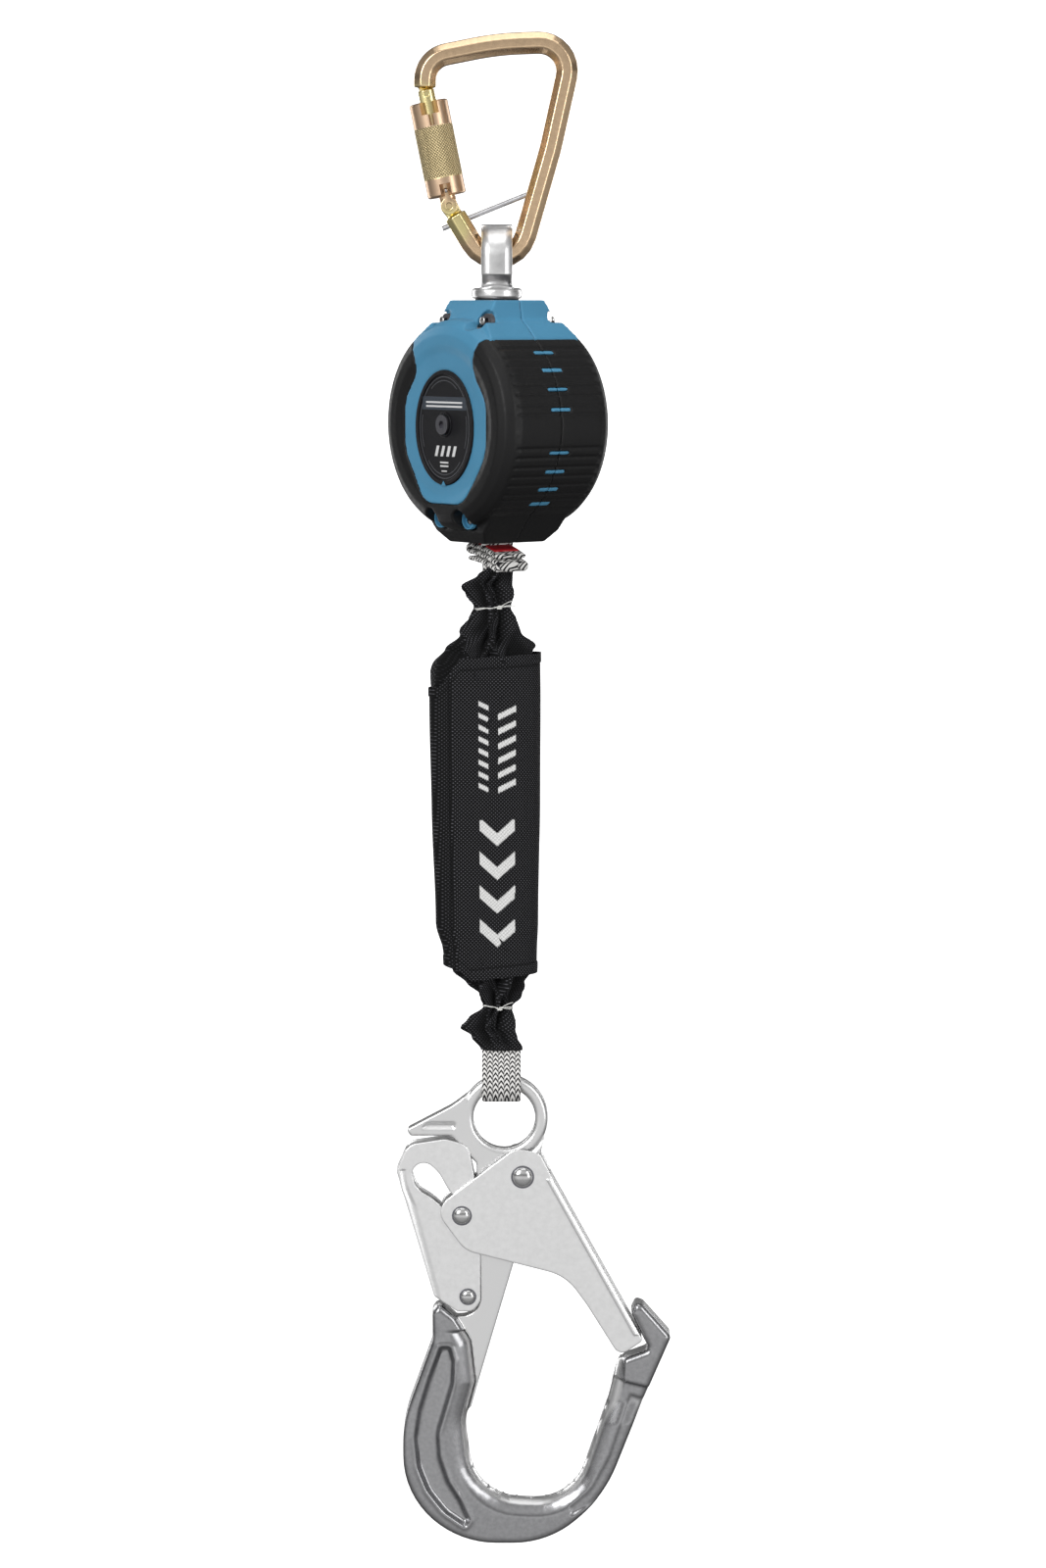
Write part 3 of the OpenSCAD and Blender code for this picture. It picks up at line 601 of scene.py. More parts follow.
def plate(name, outlines, front, back, edge, place):
    """A plate in X and Z with bevelled edges, between y = front and y = back, in millimetres.
    Outlines inside the first one are holes."""
    curve = bpy.data.curves.new(name, "CURVE")
    curve.dimensions = "2D"
    curve.fill_mode = "BOTH"
    curve.extrude = (abs(back - front) / 2 - edge) * MM
    curve.bevel_depth = edge * MM
    curve.bevel_resolution = 2
    curve.offset = -edge * MM
    for outline in outlines:
        line = curve.splines.new("POLY")
        line.points.add(len(outline) - 1)
        for point, at in zip(line.points, outline):
            point.co = (at[0] * MM, at[1] * MM, 0, 1)
        line.use_cyclic_u = True
    holder = bpy.data.objects.new(name, curve)
    scene.collection.objects.link(holder)
    mesh = bpy.data.meshes.new_from_object(holder.evaluated_get(bpy.context.evaluated_depsgraph_get()))
    bpy.data.objects.remove(holder)
    turn = Matrix.Rotation(math.radians(90), 4, "X")
    mesh.transform(place @ Matrix.Translation((0, (front + back) / 2 * MM, 0)) @ turn)
    return mesh


def tube(name, points, radius, closed=False, sides=6):
    """A round cord through points, in millimetres."""
    points = [Vector(p) for p in points]
    n = len(points)
    verts = []
    for i, p in enumerate(points):
        ahead = points[(i + 1) % n] if closed or i < n - 1 else p
        behind = points[i - 1] if closed or i > 0 else p
        along = (ahead - behind).normalized()
        if i == 0:
            side = along.orthogonal().normalized()
        else:
            side = (side - along * side.dot(along)).normalized()
        up = along.cross(side)
        for k in range(sides):
            a = 2 * math.pi * k / sides
            verts.append((p + (side * math.cos(a) + up * math.sin(a)) * radius) * MM)
    ends = [] if closed else caps(n, sides)
    return mesh_from(name, verts, skin(n, sides, closed) + ends)


def ribbon(name, line, x0, x1, thick, place=Matrix.Identity(4)):
    """Webbing that follows a line in Y and Z, from x0 to x1 across, with softly rounded edges."""
    across = 18
    line = [Vector(p) for p in line]
    section = [(x0 + (x1 - x0) * k / across, 0.5 if 0 < k < across else 0.2) for k in range(across + 1)]
    loop = section + [(x, -h) for x, h in reversed(section)]
    verts = []
    for i, p in enumerate(line):
        along = (line[min(i + 1, len(line) - 1)] - line[max(i - 1, 0)]).normalized()
        out = Vector((along.y, -along.x))
        for x, h in loop:
            q = p + out * h * thick
            verts.append(place @ (Vector((x, q.x, q.y)) * MM))
    return mesh_from(name, verts, skin(len(line), len(loop)) + caps(len(line), len(loop)))


def joined(name, meshes, *materials):
    """One piece from several meshes. Each takes the material at its own place in the list, or the last."""
    verts = []
    faces = []
    marks = []
    for i, mesh in enumerate(meshes):
        base = len(verts)
        verts += [v.co.copy() for v in mesh.vertices]
        faces += [tuple(base + v for v in p.vertices) for p in mesh.polygons]
        marks += [(min(i, len(materials) - 1), p.use_smooth) for p in mesh.polygons]
    piece = new_piece(name, mesh_from(name, verts, faces), *materials)
    for p, (index, smooth) in zip(piece.data.polygons, marks):
        p.material_index = index
        p.use_smooth = smooth
    return piece


# ---------- carabiner ----------


def make_sleeve():
    """The twist sleeve: plain ends, a diamond knurl round the middle, and windows at the front."""
    outer = 9.75
    inner = 4.95
    edge_r = 0.9
    low, high = 5.3, 53.0
    knurl_low, knurl_high = 14.5, 40.5
    columns, rows = 264, 150
    diamonds = 40
    # Left, right, bottom and top of each window
    windows = [(-4.5, 4.5, 46.5, 60), (-1.2, 1.2, 41, 48), (-2.8, 2.8, 0, 11.5)]

    def open_at(x, s):
        return any(left < x < right and bottom < s < top for left, right, bottom, top in windows)

    def surface(turn, s):
        radius = outer - edge_r * max(0, 1 - (s - low) / edge_r, 1 - (high - s) / edge_r) ** 2
        if not knurl_low < s < knurl_high:
            return radius, 0.0
        lean = (s - knurl_low) / (outer * 1.05)
        ridge = math.cos((turn + lean) * diamonds / 2) * math.cos((turn - lean) * diamonds / 2)
        ease = min(1, (s - knurl_low) / 0.5, (knurl_high - s) / 0.5)
        groove = (1 - abs(ridge)) ** 2 * ease
        return radius + (0.12 * ease - 0.5 * groove), groove

    verts = []
    faces = []
    grooves = []
    heights = list(np.linspace(low, high, rows + 1))
    for s in heights:
        for k in range(columns):
            turn = 2 * math.pi * k / columns
            radius, depth = surface(turn, s)
            verts.append((radius * math.sin(turn), -radius * math.cos(turn), s))
            grooves.append(depth)
    for s in heights:
        for k in range(columns):
            turn = 2 * math.pi * k / columns
            verts.append((inner * math.sin(turn), -inner * math.cos(turn), s))
    shift = (rows + 1) * columns
    kept = set()
    for i in range(rows):
        for k in range(columns):
            turn = 2 * math.pi * (k + 0.5) / columns
            front = math.cos(turn) > 0
            if not (front and open_at(outer * math.sin(turn), (heights[i] + heights[i + 1]) / 2)):
                kept.add((i, k))
    for i, k in kept:
        n = (k + 1) % columns
        a = i * columns + k
        b = i * columns + n
        c = b + columns
        d = a + columns
        faces += [(a, b, c, d), (shift + d, shift + c, shift + b, shift + a)]
        if (i - 1, k) not in kept:
            faces.append((b, a, shift + a, shift + b))
        if (i + 1, k) not in kept:
            faces.append((d, c, shift + c, shift + d))
        if (i, (k - 1) % columns) not in kept:
            faces.append((a, d, shift + d, shift + a))
        if (i, n) not in kept:
            faces.append((c, b, shift + b, shift + c))
    mesh = mesh_from("sleeve", [AT_GATE @ (Vector(v) * MM) for v in verts], faces)
    ends = mesh.attributes.new("plain_end", "FLOAT", "POINT")
    ends.data.foreach_set("value", [0.0 if knurl_low < v[2] < knurl_high else 1.0 for v in verts])
    # The groove mark holds each valley's depth, and the material paints shade into the knurl there.
    marks = mesh.attributes.new("groove", "FLOAT", "POINT")
    marks.data.foreach_set("value", grooves + [0.0] * (len(verts) - len(grooves)))
    piece = new_piece("knurled_sleeve", mesh, KNURLED)
    mesh.set_sharp_from_angle(angle=math.radians(50))
    stand_for(piece, "locking_sleeve")


def make_sleeve_ball():
    """The small ball in the sleeve's lower window."""
    mesh = bpy.data.meshes.new("ball")
    shape = bmesh.new()
    bmesh.ops.create_uvsphere(shape, u_segments=24, v_segments=16, radius=1.3 * MM)
    bmesh.ops.translate(shape, verts=shape.verts, vec=Vector((0, -4.7, 8)) * MM)
    shape.to_mesh(mesh)
    shape.free()
    mesh.transform(AT_GATE)
    for p in mesh.polygons:
        p.use_smooth = True
    trim(new_piece("sleeve_ball", mesh, POLISHED), "locking_sleeve")


def tapered_eye(points):
    """Leans the eye's flat faces in towards its top, and rounds them off across their width."""
    stem_top = -114
    upright_z = -98
    p = points / MM
    x, y, z = p.T
    flat = np.clip((np.abs(y) - 4) / 3, 0, 1) * (z > stem_top)
    p[:, 1] -= np.sign(y) * flat * 0.075 * (z - upright_z)
    p[:, 1] -= np.sign(y) * flat * 2.4 * np.clip((np.abs(x) - 3.6) / 4.2, 0, 1) ** 1.6
    return p * MM


# ---------- housing ----------


def make_labels():
    """Oval labels with a raised ring, a plain band, thin arcs, bars and slashes, on both faces."""
    label_w, label_h = 48, 58
    middle = -1.5
    face = -33.5
    printed = face - 0.08

    def oval(inset, start=0, end=360, steps=72):
        return arc(0, middle, label_w / 2 - inset, label_h / 2 - inset, start, end, steps)

    def band(inset, wide, start, end):
        return oval(inset, start, end, 30) + oval(inset + wide, end, start, 30)

    def half_width(z):
        return math.sqrt(1 - ((z - middle) / (label_h / 2 - 4)) ** 2) * (label_w / 2 - 4)

    for side, node in ((0, "front_label"), (math.pi, "rear_label")):
        place = IN_HOUSING @ Matrix.Rotation(side, 4, "Z")
        base = plate("base", [oval(0)[:-1], circle(5.6, 32)], face + 0.9, face, 0.25, place)
        rim = plate("rim", [oval(0.2)[:-1], oval(2.4)[:-1]], face + 0.4, face - 0.55, 0.3, place)
        hub = plate("hub", [circle(6.3, 32), circle(5.2, 32)], face + 0.4, face - 0.5, 0.2, place)
        line = plate("line", [oval(3.3)[:-1], oval(3.7)[:-1]], face, printed, 0.02, place)
        upper = half_width(9.5)
        lower = half_width(8)
        corners = [(-upper, 14), (upper, 14), (lower, 7.4), (-lower, 7.4)]
        stripe = plate("stripe", [corners], face, face - 0.1, 0.02, place)
        arcs = []
        for start, end in ((55, 125), (165, 205), (-25, 15), (225, 315)):
            arcs.append(plate("arc", [band(5.2, 0.35, start, end)], face, printed, 0.02, place))
        marks = []
        for half, z, thick in ((15, 11.6, 0.9), (15, 9.6, 0.9), (3.4, -18.6, 0.8), (3.4, -20.4, 0.8),
                               (2.2, -23, 0.6)):
            corners = [(-half, z), (half, z), (half, z - thick), (-half, z - thick)]
            marks.append(plate("bar", [corners], face, face - 0.14, 0.02, place))
        for x in (-8, -3.2, 1.6, 6.4):
            corners = [(x, -15.9), (x + 2.2, -15.9), (x + 4, -10.6), (x + 1.8, -10.6)]
            marks.append(plate("slash", [corners], face, printed, 0.02, place))
        notch = plate("notch", [[(-1.8, -30.6), (1.8, -30.6), (0, -28.2)]], face, face - 0.7, 0.05, place)
        stand_for(joined(node + "_body", [base, rim, hub], LABEL), node)
        trim(joined(node + "_lines", [line, stripe, *arcs], LABEL_RING, LABEL_GREY, LABEL_RING), node)
        trim(joined(node + "_marks", marks, PRINT), node)
        trim(new_piece(node + "_notch", notch, BLUE), node)


def dome(radius, height, base):
    """A domed head along -Y: its flat side at y = base, in millimetres."""
    steps = 10
    around = 40
    tip_r = 0.02
    verts = []
    for i in range(steps + 1):
        a = math.pi / 2 * i / steps
        r = radius * math.cos(a) if i < steps else tip_r
        for k in range(around):
            turn = 2 * math.pi * k / around
            verts.append(Vector((r * math.cos(turn), base - height * math.sin(a), r * math.sin(turn))) * MM)
    back = tuple(reversed(range(around)))
    return mesh_from("dome", verts, skin(steps + 1, around) + [back])


def make_screw_wells():
    """Blue cups sunk in the grips round the lower screws, and bright domed heads on all the screws."""
    # X, Z and the height of the head's seat
    upper = [(-17, 52, -22.5), (17, 52, -22.5)]
    lower = [(-11.6, -47.5, -25), (11.6, -47.5, -25)]
    for side, cover in ((0, "front_cover"), (math.pi, "rear_cover")):
        for x, z, seat in upper + lower:
            place = IN_HOUSING @ Matrix.Rotation(side, 4, "Z") @ Matrix.Translation(Vector((x, 0, z)) * MM)
            low = z < 0
            head = dome(2.5, 0.9, seat - 1.2) if low else dome(2.0, 0.6, seat + 0.2)
            head.transform(place)
            trim(new_piece("screw_head", head, POLISHED), "cover_screws")
            if low:
                floor = plate("floor", [circle(4.7)], seat - 0.1, seat - 0.7, 0.1, place)
                wall = plate("wall", [circle(4.9), circle(4.3)], seat - 0.1, seat - 2.6, 0.1, place)
                trim(joined("screw_cup", [floor, wall], BLUE), cover)


# Heights of the bars on the grips' outer band, from the middle of the disc
BAR_HEIGHTS = (36, 27.5, 18, 8, -13.5, -23, -32, -39.5)


def grooved_grip(points):
    """Presses a pair of fine lines across the grip's outer band at every bar."""
    inward = np.array(IN_HOUSING.inverted())
    local = points @ inward[:3, :3].T + inward[:3, 3]
    x, y, z = local.T / MM
    reach = np.hypot(x, z)
    outside = np.clip((reach - 50.2) / 1.0, 0, 1) * np.clip((27.5 - np.abs(y)) / 2, 0, 1)
    depth = np.zeros(len(points))
    for bar in BAR_HEIGHTS:
        for shift in (-2.3, 2.3):
            depth = np.maximum(depth, np.clip(1.0 - np.abs(z - bar - shift), 0, 0.6))
    scale = 1 - depth * outside * 0.75 / np.maximum(reach, 1)
    local[:, 0] *= scale
    local[:, 2] *= scale
    outward = np.array(IN_HOUSING)
    return local @ outward[:3, :3].T + outward[:3, 3]


# ---------- lifeline, stopper fold and webbing ----------


def make_strap():
    """The webbing between the housing and the fold, which stretches out as the lifeline pays out."""
    top = DISC.z / MM - 50
    bottom = DISC.z / MM - 60.4
    line = [(0, z) for z in np.linspace(top, bottom - 2, 90)]
    strap = ribbon("strap", line, -10, 10, 1.4, ACROSS_HOUSING)
    piece = new_piece("strap", strap, WEB_STRAP)
    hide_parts("lifeline_web")
    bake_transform(piece, "housing", "lifeline", start=(0, 0, top * MM), end=(0, 0, bottom * MM))


def make_fold():
    """The stopper: webbing folded to and fro into a stack, drawn down into the pack's neck."""
    top = DISC.z / MM - 60.9
    layers = 3
    reach = 11.0
    pitch = 3.3
    slope = 0.24
    path = []
    for k in range(layers):
        side = 1 if k % 2 == 0 else -1
        for t in np.linspace(-1, 1, 14):
            x = side * t * reach
            path.append((x, top - 2.6 - pitch * k + slope * x - 1.0 * t * t))
        if k < layers - 1:
            cx = side * reach
            cz = top - 3.6 - pitch * k + slope * side * reach - pitch / 2
            path += [(cx + side * pitch / 2 * math.sin(a), cz + pitch / 2 * math.cos(a))
                     for a in np.linspace(0.3, math.pi - 0.3, 7)]
    stack = ribbon("stack", path, -10, 10, 2.3, ACROSS_HOUSING)
    neck = [(0, z) for z in np.linspace(top - 9, -270, 20)]
    drop = ribbon("drop", neck, -7.5, 7.5, 4.2, Matrix.Rotation(math.radians(12), 4, "Z"))
    stand_for(joined("stopper_stack", [stack, drop], WEB_STRAP, WEB_LOOP), "stopper_fold")
    patch_line = [(x, top - 1.0 + slope * x - 1.0 * (x / reach) ** 2) for x in np.linspace(-8, 9, 18)]
    patch = ribbon("patch", patch_line, -8, 8, 0.8, ACROSS_HOUSING)
    stand_for(new_piece("red_patch", patch, RED), "load_indicator")


def make_lower_loop():
    """The webbing loop through the hook's eye ring, with its ends sewn together above."""
    side = [(-2.6, -505), (-4.9, -511), (-7.9, -517), (-8.7, -523)]
    bow = [(-8.8 * math.cos(a), -525.4 - 8.4 * math.sin(a)) for a in np.linspace(0.15, math.pi - 0.15, 22)]
    line = side + bow + [(-y, z) for y, z in reversed(side)]
    halved = []
    for (y0, z0), (y1, z1) in zip(line, line[1:]):
        halved += [(y0, z0), ((y0 + y1) / 2, (z0 + z1) / 2)]
    halved.append(line[-1])
    loop = ribbon("loop", halved, -8, 12, 1.9)
    stand_for(new_piece("web_loop", loop, WEB_LOOP), "lower_web_loop")


# ---------- absorber pack ----------

# Height, middle in X, half width, half depth, squareness and depth of the gathers, down the pack
COVER_SECTIONS = [
    (-257.5, 1.0, 7.0, 5.6, 2.6, 0.2), (-261, -1.5, 9.0, 5.8, 2.4, 0.6), (-266, -4.5, 12.8, 6.2, 2.2, 1.6),
    (-271, -2.6, 11.0, 6.2, 2.2, 1.6), (-277.5, -1.4, 8.9, 5.6, 2.3, 1.0), (-283, -1.2, 10.4, 6.3, 2.3, 1.5),
    (-291, -3.2, 15.8, 8.0, 2.4, 2.0), (-299, -5.2, 22.8, 9.2, 2.6, 1.9), (-307, -6.0, 26.2, 9.8, 3.0, 1.3),
    (-318, -6.2, 26.6, 9.8, 3.2, 0.7), (-380, -6.0, 26.2, 9.9, 3.4, 0.3), (-440, -5.2, 24.8, 9.8, 3.2, 0.4),
    (-458, -3.4, 22.4, 9.4, 3.0, 0.9), (-466, -1.8, 19.6, 8.8, 2.6, 1.4), (-473, -1.0, 14.6, 7.8, 2.4, 1.8),
    (-479, -0.6, 9.8, 6.4, 2.3, 1.5), (-484.5, -0.4, 7.4, 5.4, 2.3, 0.9), (-490, -2.2, 10.6, 6.0, 2.2, 1.5),
    (-495.5, -3.2, 14.2, 6.4, 2.2, 1.6), (-500, -0.5, 11.8, 6.2, 2.4, 1.1), (-507, 2.6, 10.9, 6.0, 2.8, 0.3)]


def section_at(z):
    """The pack's section at a height, eased between the listed ones."""
    rows = COVER_SECTIONS
    if z >= rows[0][0]:
        return rows[0][1:]
    for upper, lower in zip(rows, rows[1:]):
        if z >= lower[0]:
            t = (upper[0] - z) / (upper[0] - lower[0])
            ease = t * t * (3 - 2 * t)
            return tuple(a + (b - a) * ease for a, b in zip(upper[1:], lower[1:]))
    return rows[-1][1:]


def gather_wave(z, turn):
    """The folds round the pack: below zero in the valleys."""
    lean = 1.3 * math.sin(z * 0.085)
    return 1 - 2 * abs(math.sin(2.5 * turn + lean)) ** 0.7 + 0.5 * math.sin(8 * turn - 1.6 * lean + 1.0)


def superellipse(c, s, wide, deep, square):
    """Radius towards (c, s) of an ellipse whose corners fill out as square grows."""
    return (abs(c / wide) ** square + abs(s / deep) ** square) ** (-1 / square)


def bell(value, middle, width):
    """1 at the middle, and falling off to both sides."""
    return math.exp(-((value - middle) / width) ** 2)


def pack_point(z, turn, grow=0.0, gathers=1.0):
    """A point of the cover's skin, in millimetres."""
    middle, wide, deep, square, gather = section_at(z)
    c = math.cos(turn)
    s = math.sin(turn)
    radius = superellipse(c, s, wide + grow, deep + grow, square)
    radius += gathers * gather * 1.5 * gather_wave(z, turn)
    crumple = noise.noise(Vector((c * 1.6, s * 1.6, z * 0.05))) * 1.5 * gathers
    radius += crumple * min(1, gather + 0.2)
    return Vector((middle + radius * c, radius * s, z))


def make_pack_cover():
    """The cover, gathered at both waists and flared beyond them, with its end hems turned in."""
    around = 200
    levels = 300
    top = COVER_SECTIONS[0][0]
    bottom = COVER_SECTIONS[-1][0]
    # Depth of a turned-in row, and its share of the full section
    hem = [(3.0, 0.72), (0.8, 0.86)]
    rows = [(top - depth, share) for depth, share in hem]
    rows += [(z, 1) for z in np.linspace(top, bottom, levels)]
    rows += [(bottom + depth, share) for depth, share in reversed(hem)]
    verts = []
    shade = []
    for z, share in rows:
        section = section_at(z)
        middle = section[0]
        gather = section[4]
        for j in range(around):
            turn = 2 * math.pi * j / around
            p = pack_point(z, turn)
            verts.append(Vector((middle + (p.x - middle) * share, p.y * share, p.z)) * MM)
            # Painted shade in the valleys of the gathers, stored as the crease mark.
            shade.append(min(0.85, max(0.0, -gather_wave(z, turn) * min(1, gather) * 0.8)))
    faces = skin(len(rows), around, flip=True) + caps(len(rows), around, flip=True)
    mesh = mesh_from("cover", verts, faces)
    mesh.attributes.new("crease", "FLOAT", "POINT").data.foreach_set("value", shade)
    piece = new_piece("gathered_cover", mesh, CLOTH)
    stand_for(piece, "pack_cover")


def wrap_mark(x, z):
    """1 where the front of the wrap is printed: two rows of slashes, then a column of chevrons."""
    for left, right, lean, pitch in ((-9.5, -4.5, 0.5, 6.0), (0.5, 9.5, -0.5, 7.5)):
        rank, within = divmod(z + 380 + lean * x, pitch)
        if left < x < right and 1 <= rank <= 58 / pitch - 1 and within < pitch * 0.4:
            return 1.0
    chevron = (z + 455 - abs(x) * 0.9) % 17.5
    in_column = abs(x) < 9 and -452 < z < -386
    return 1.0 if in_column and 3 < chevron < 9.5 else 0.0


def make_wrap():
    """The printed label wrap round the pack, with a slanted corner at the top left and a hemmed edge."""
    around = 460
    levels = 300
    grow = 1.25
    squareness = 3.6
    hem = 0.03
    stitch_line = 0.035
    fold_x = -18
    verts = []
    ink = []
    shade = []

    def top_at(x):
        return np.interp(x, [-40, -30, -19.5, 22.5], [-319, -319, -303.5, -300.8])

    def bottom_at(x):
        return np.interp(x, [-34, -24, -18, 22], [-462, -464.5, -470, -466])

    for i in range(levels + 1):
        t = i / levels
        out = grow + (0.5 if t < hem or t > 1 - hem else 0.0)
        stitches = max(bell(t, stitch_line, 0.0035), bell(t, 1 - stitch_line, 0.0035))
        for j in range(around):
            turn = 2 * math.pi * j / around
            c = math.cos(turn)
            s = math.sin(turn)
            front = s < 0
            side_x = pack_point(-380, turn, grow=1.2, gathers=0).x
            z = top_at(side_x) * (1 - t) + bottom_at(side_x) * t
            middle, wide, deep = section_at(z if z > -452 else -452 + (z + 452) * 0.55)[:3]
            if z > -318:
                middle, wide, deep = -6.2, 26.6, 9.8
            radius = superellipse(c, s, wide + out, deep + out * 0.4, squareness)
            wave = noise.noise(Vector((c * 1.4, s * 1.4, z * 0.022))) * 0.7
            crease = -1.5 * bell(c * radius, fold_x, 1.1) if front else 0
            p = Vector((middle + (radius + wave) * c, (radius + wave + crease) * s, z))
            verts.append(p * MM)
            ink.append(wrap_mark(p.x, p.z) if front else 0.0)
            # Painted shade along the front's fold and over its left flank, stored in the crease mark together
            # with the darker stitch lines.
            fold = bell(c * radius, fold_x - 0.4, 0.7) if front else 0.0
            shaded_flank = 0.35 if front and c * radius < fold_x - 1 else 0.0
            shade.append(max(stitches * 0.8, fold * 0.9, shaded_flank))
    mesh = mesh_from("wrap", verts, skin(levels + 1, around, flip=True))
    mesh.attributes.new("print", "FLOAT", "POINT").data.foreach_set("value", ink)
    mesh.attributes.new("crease", "FLOAT", "POINT").data.foreach_set("value", shade)
    piece = new_piece("printed_wrap", mesh, WRAP)
    shell = piece.modifiers.new("thickness", "SOLIDIFY")
    shell.thickness = 0.9 * MM
    shell.offset = 0
    bake(piece)
    stand_for(piece, "label_wrap")


def make_tie(node, z, tilt):
    """A white thread tie: two turns round the waist, a knot and two short ends."""
    rng = random.Random(3)
    knot_x = 1.5
    knot_z = z + tilt * knot_x
    front = -section_at(z)[2] - 1.0
    meshes = []
    for lap in range(2):
        points = []
        for a in np.linspace(0, 2 * math.pi, 73)[:-1]:
            p = pack_point(z, a, grow=0.35, gathers=0.75)
            lift = tilt * p.x + 0.5 * (lap - 0.5) * (1 + math.sin(a)) + 0.2 * math.sin(5 * a + lap * 2)
            points.append((p.x, p.y, z + lift))
        meshes.append(tube("turn", points, 0.24, closed=True))
    for k in range(3):
        points = []
        for a in np.linspace(0, 5.6, 16):
            y = front - 0.5 + 0.5 * math.sin(a + k)
            points.append((knot_x + 1.3 * math.cos(a), y, knot_z + 0.7 * math.sin(a + k * 1.1)))
        meshes.append(tube("knot", points, 0.26))
    for reach, rise in ((6.5, 3.2), (8.0, 0.6)):
        points = []
        for t in np.linspace(0, 1, 12):
            y = front - 0.6 - 0.9 * math.sin(2.2 * t)
            lift = rise * t + 0.6 * math.sin(3 * t) + 0.08 * rng.random()
            points.append((knot_x + reach * t, y, knot_z + lift))
        meshes.append(tube("end", points, 0.22))
    stand_for(joined(node + "_thread", meshes, THREAD), node)


# ---------- hook ----------

# Outlines in X and Z with the radius of each corner, in millimetres. The bowl's inside comes first.
INSIDE_CORNERS = 9
HOOK_BOWL = [
    (-30.5, -641, 2), (-22, -648, 6), (-14, -661, 8), (-11.5, -683, 3), (-17, -704, 24), (-12, -745, 27),
    (39, -747, 27), (58, -691, 30), (63, -671, 3), (79, -665, 2), (69.5, -645.5, 2), (72, -640, 2),
    (76, -641.5, 2), (90.5, -658, 3), (76, -692, 30), (56, -743.6, 70), (27, -769.3, 50), (-19.7, -769.3, 50),
    (-49.5, -743, 46), (-49.5, -703.5, 70), (-33.5, -659, 12), (-34, -645, 3)]
LIMB_POCKET = [
    (-30.2, -663, 2), (-36.6, -680.8, 12), (-41.5, -697, 20), (-43.8, -712, 20), (-42.3, -727.6, 20),
    (-37.1, -740.7, 20), (-28.1, -752.4, 20), (-17.0, -760.2, 1), (-14.4, -756.3, 1), (-19.1, -745.9, 12),
    (-25.6, -735.4, 16), (-29.9, -722.4, 16), (-30.7, -709.4, 16), (-26.8, -696.4, 16), (-23.0, -683.4, 12),
    (-22.4, -671, 6), (-24.5, -663, 2)]
TIP_RECESS = [
    (68.8, -688.5, 1), (81.2, -692.5, 1), (63.4, -732.8, 60), (51.8, -747.2, 30), (38.1, -754.6, 1),
    (37.1, -749.2, 1), (47.9, -740.1, 20), (57.7, -722.4, 40)]


def rim_distance(points, outline):
    """Distance in X and Z from each point to the nearest edge of an outline."""
    a = np.array([tuple(p) for p in outline])
    b = np.roll(a, -1, axis=0)
    nearest = np.full(len(points), 1e9)
    for start, end in zip(a, b):
        along = end - start
        length = max(along @ along, 1e-12)
        t = np.clip(((points - start) @ along) / length, 0, 1)
        nearest = np.minimum(nearest, np.linalg.norm(points - start - t[:, None] * along, axis=1))
    return nearest


def inside_outline(points, outline):
    """Which points lie within an outline."""
    shape = np.array([tuple(p) for p in outline])
    found = np.zeros(len(points), bool)
    for (x0, z0), (x1, z1) in zip(shape, np.roll(shape, -1, axis=0)):
        cross = (z0 > points[:, 1]) != (z1 > points[:, 1])
        rise = z1 - z0 if abs(z1 - z0) > 1e-9 else 1e-9
        found ^= cross & (points[:, 0] < (x1 - x0) * (points[:, 1] - z0) / rise + x0)
    return found


def signed_distance(points, outline):
    """Distance to an outline, negative within it."""
    return np.where(inside_outline(points, outline), -1, 1) * rim_distance(points, outline)


def edge_fall(distance, radius):
    """How far a surface drops where it is nearer than radius to its rounded edge."""
    e = np.clip(radius - distance, 0, radius)
    return radius - np.sqrt(np.maximum(radius ** 2 - e ** 2, 0))


def bowl_face(plane):
    """Half the bowl's thickness: round edges, broad inside, with the limb's pocket and the tip's recess."""
    x, z = plane.T
    inner_r = 9.0
    level = 8.5 - edge_fall(rim_distance(plane, rounded(HOOK_BOWL)), 3.2) * 0.8
    inside = rounded(HOOK_BOWL[:INSIDE_CORNERS] + [(30, -600, 1)])
    within = np.where((z < -655) & (x > -30) & (x < 66), rim_distance(plane, inside), 99)
    level -= 5.0 * (np.clip(inner_r - within, 0, inner_r) / inner_r) ** 1.7
    pocket = signed_distance(plane, rounded(LIMB_POCKET, 5))
    level -= 2.6 * np.clip(-pocket / 2.2, 0, 1) ** 0.8
    level += 0.7 * np.exp(-((pocket - 0.7) / 0.9) ** 2)
    recess = signed_distance(plane, rounded(TIP_RECESS, 5))
    level -= 1.0 * np.clip(-recess / 1.2, 0, 1)
    slant = (z + 681.5) + (x - 64.7) * 0.26
    under_tip = (x > 50) & (z > -705) & (slant < 0)
    return level - np.where(under_tip, 1.8, 0) * np.clip((z + 705) / 12, 0, 1)


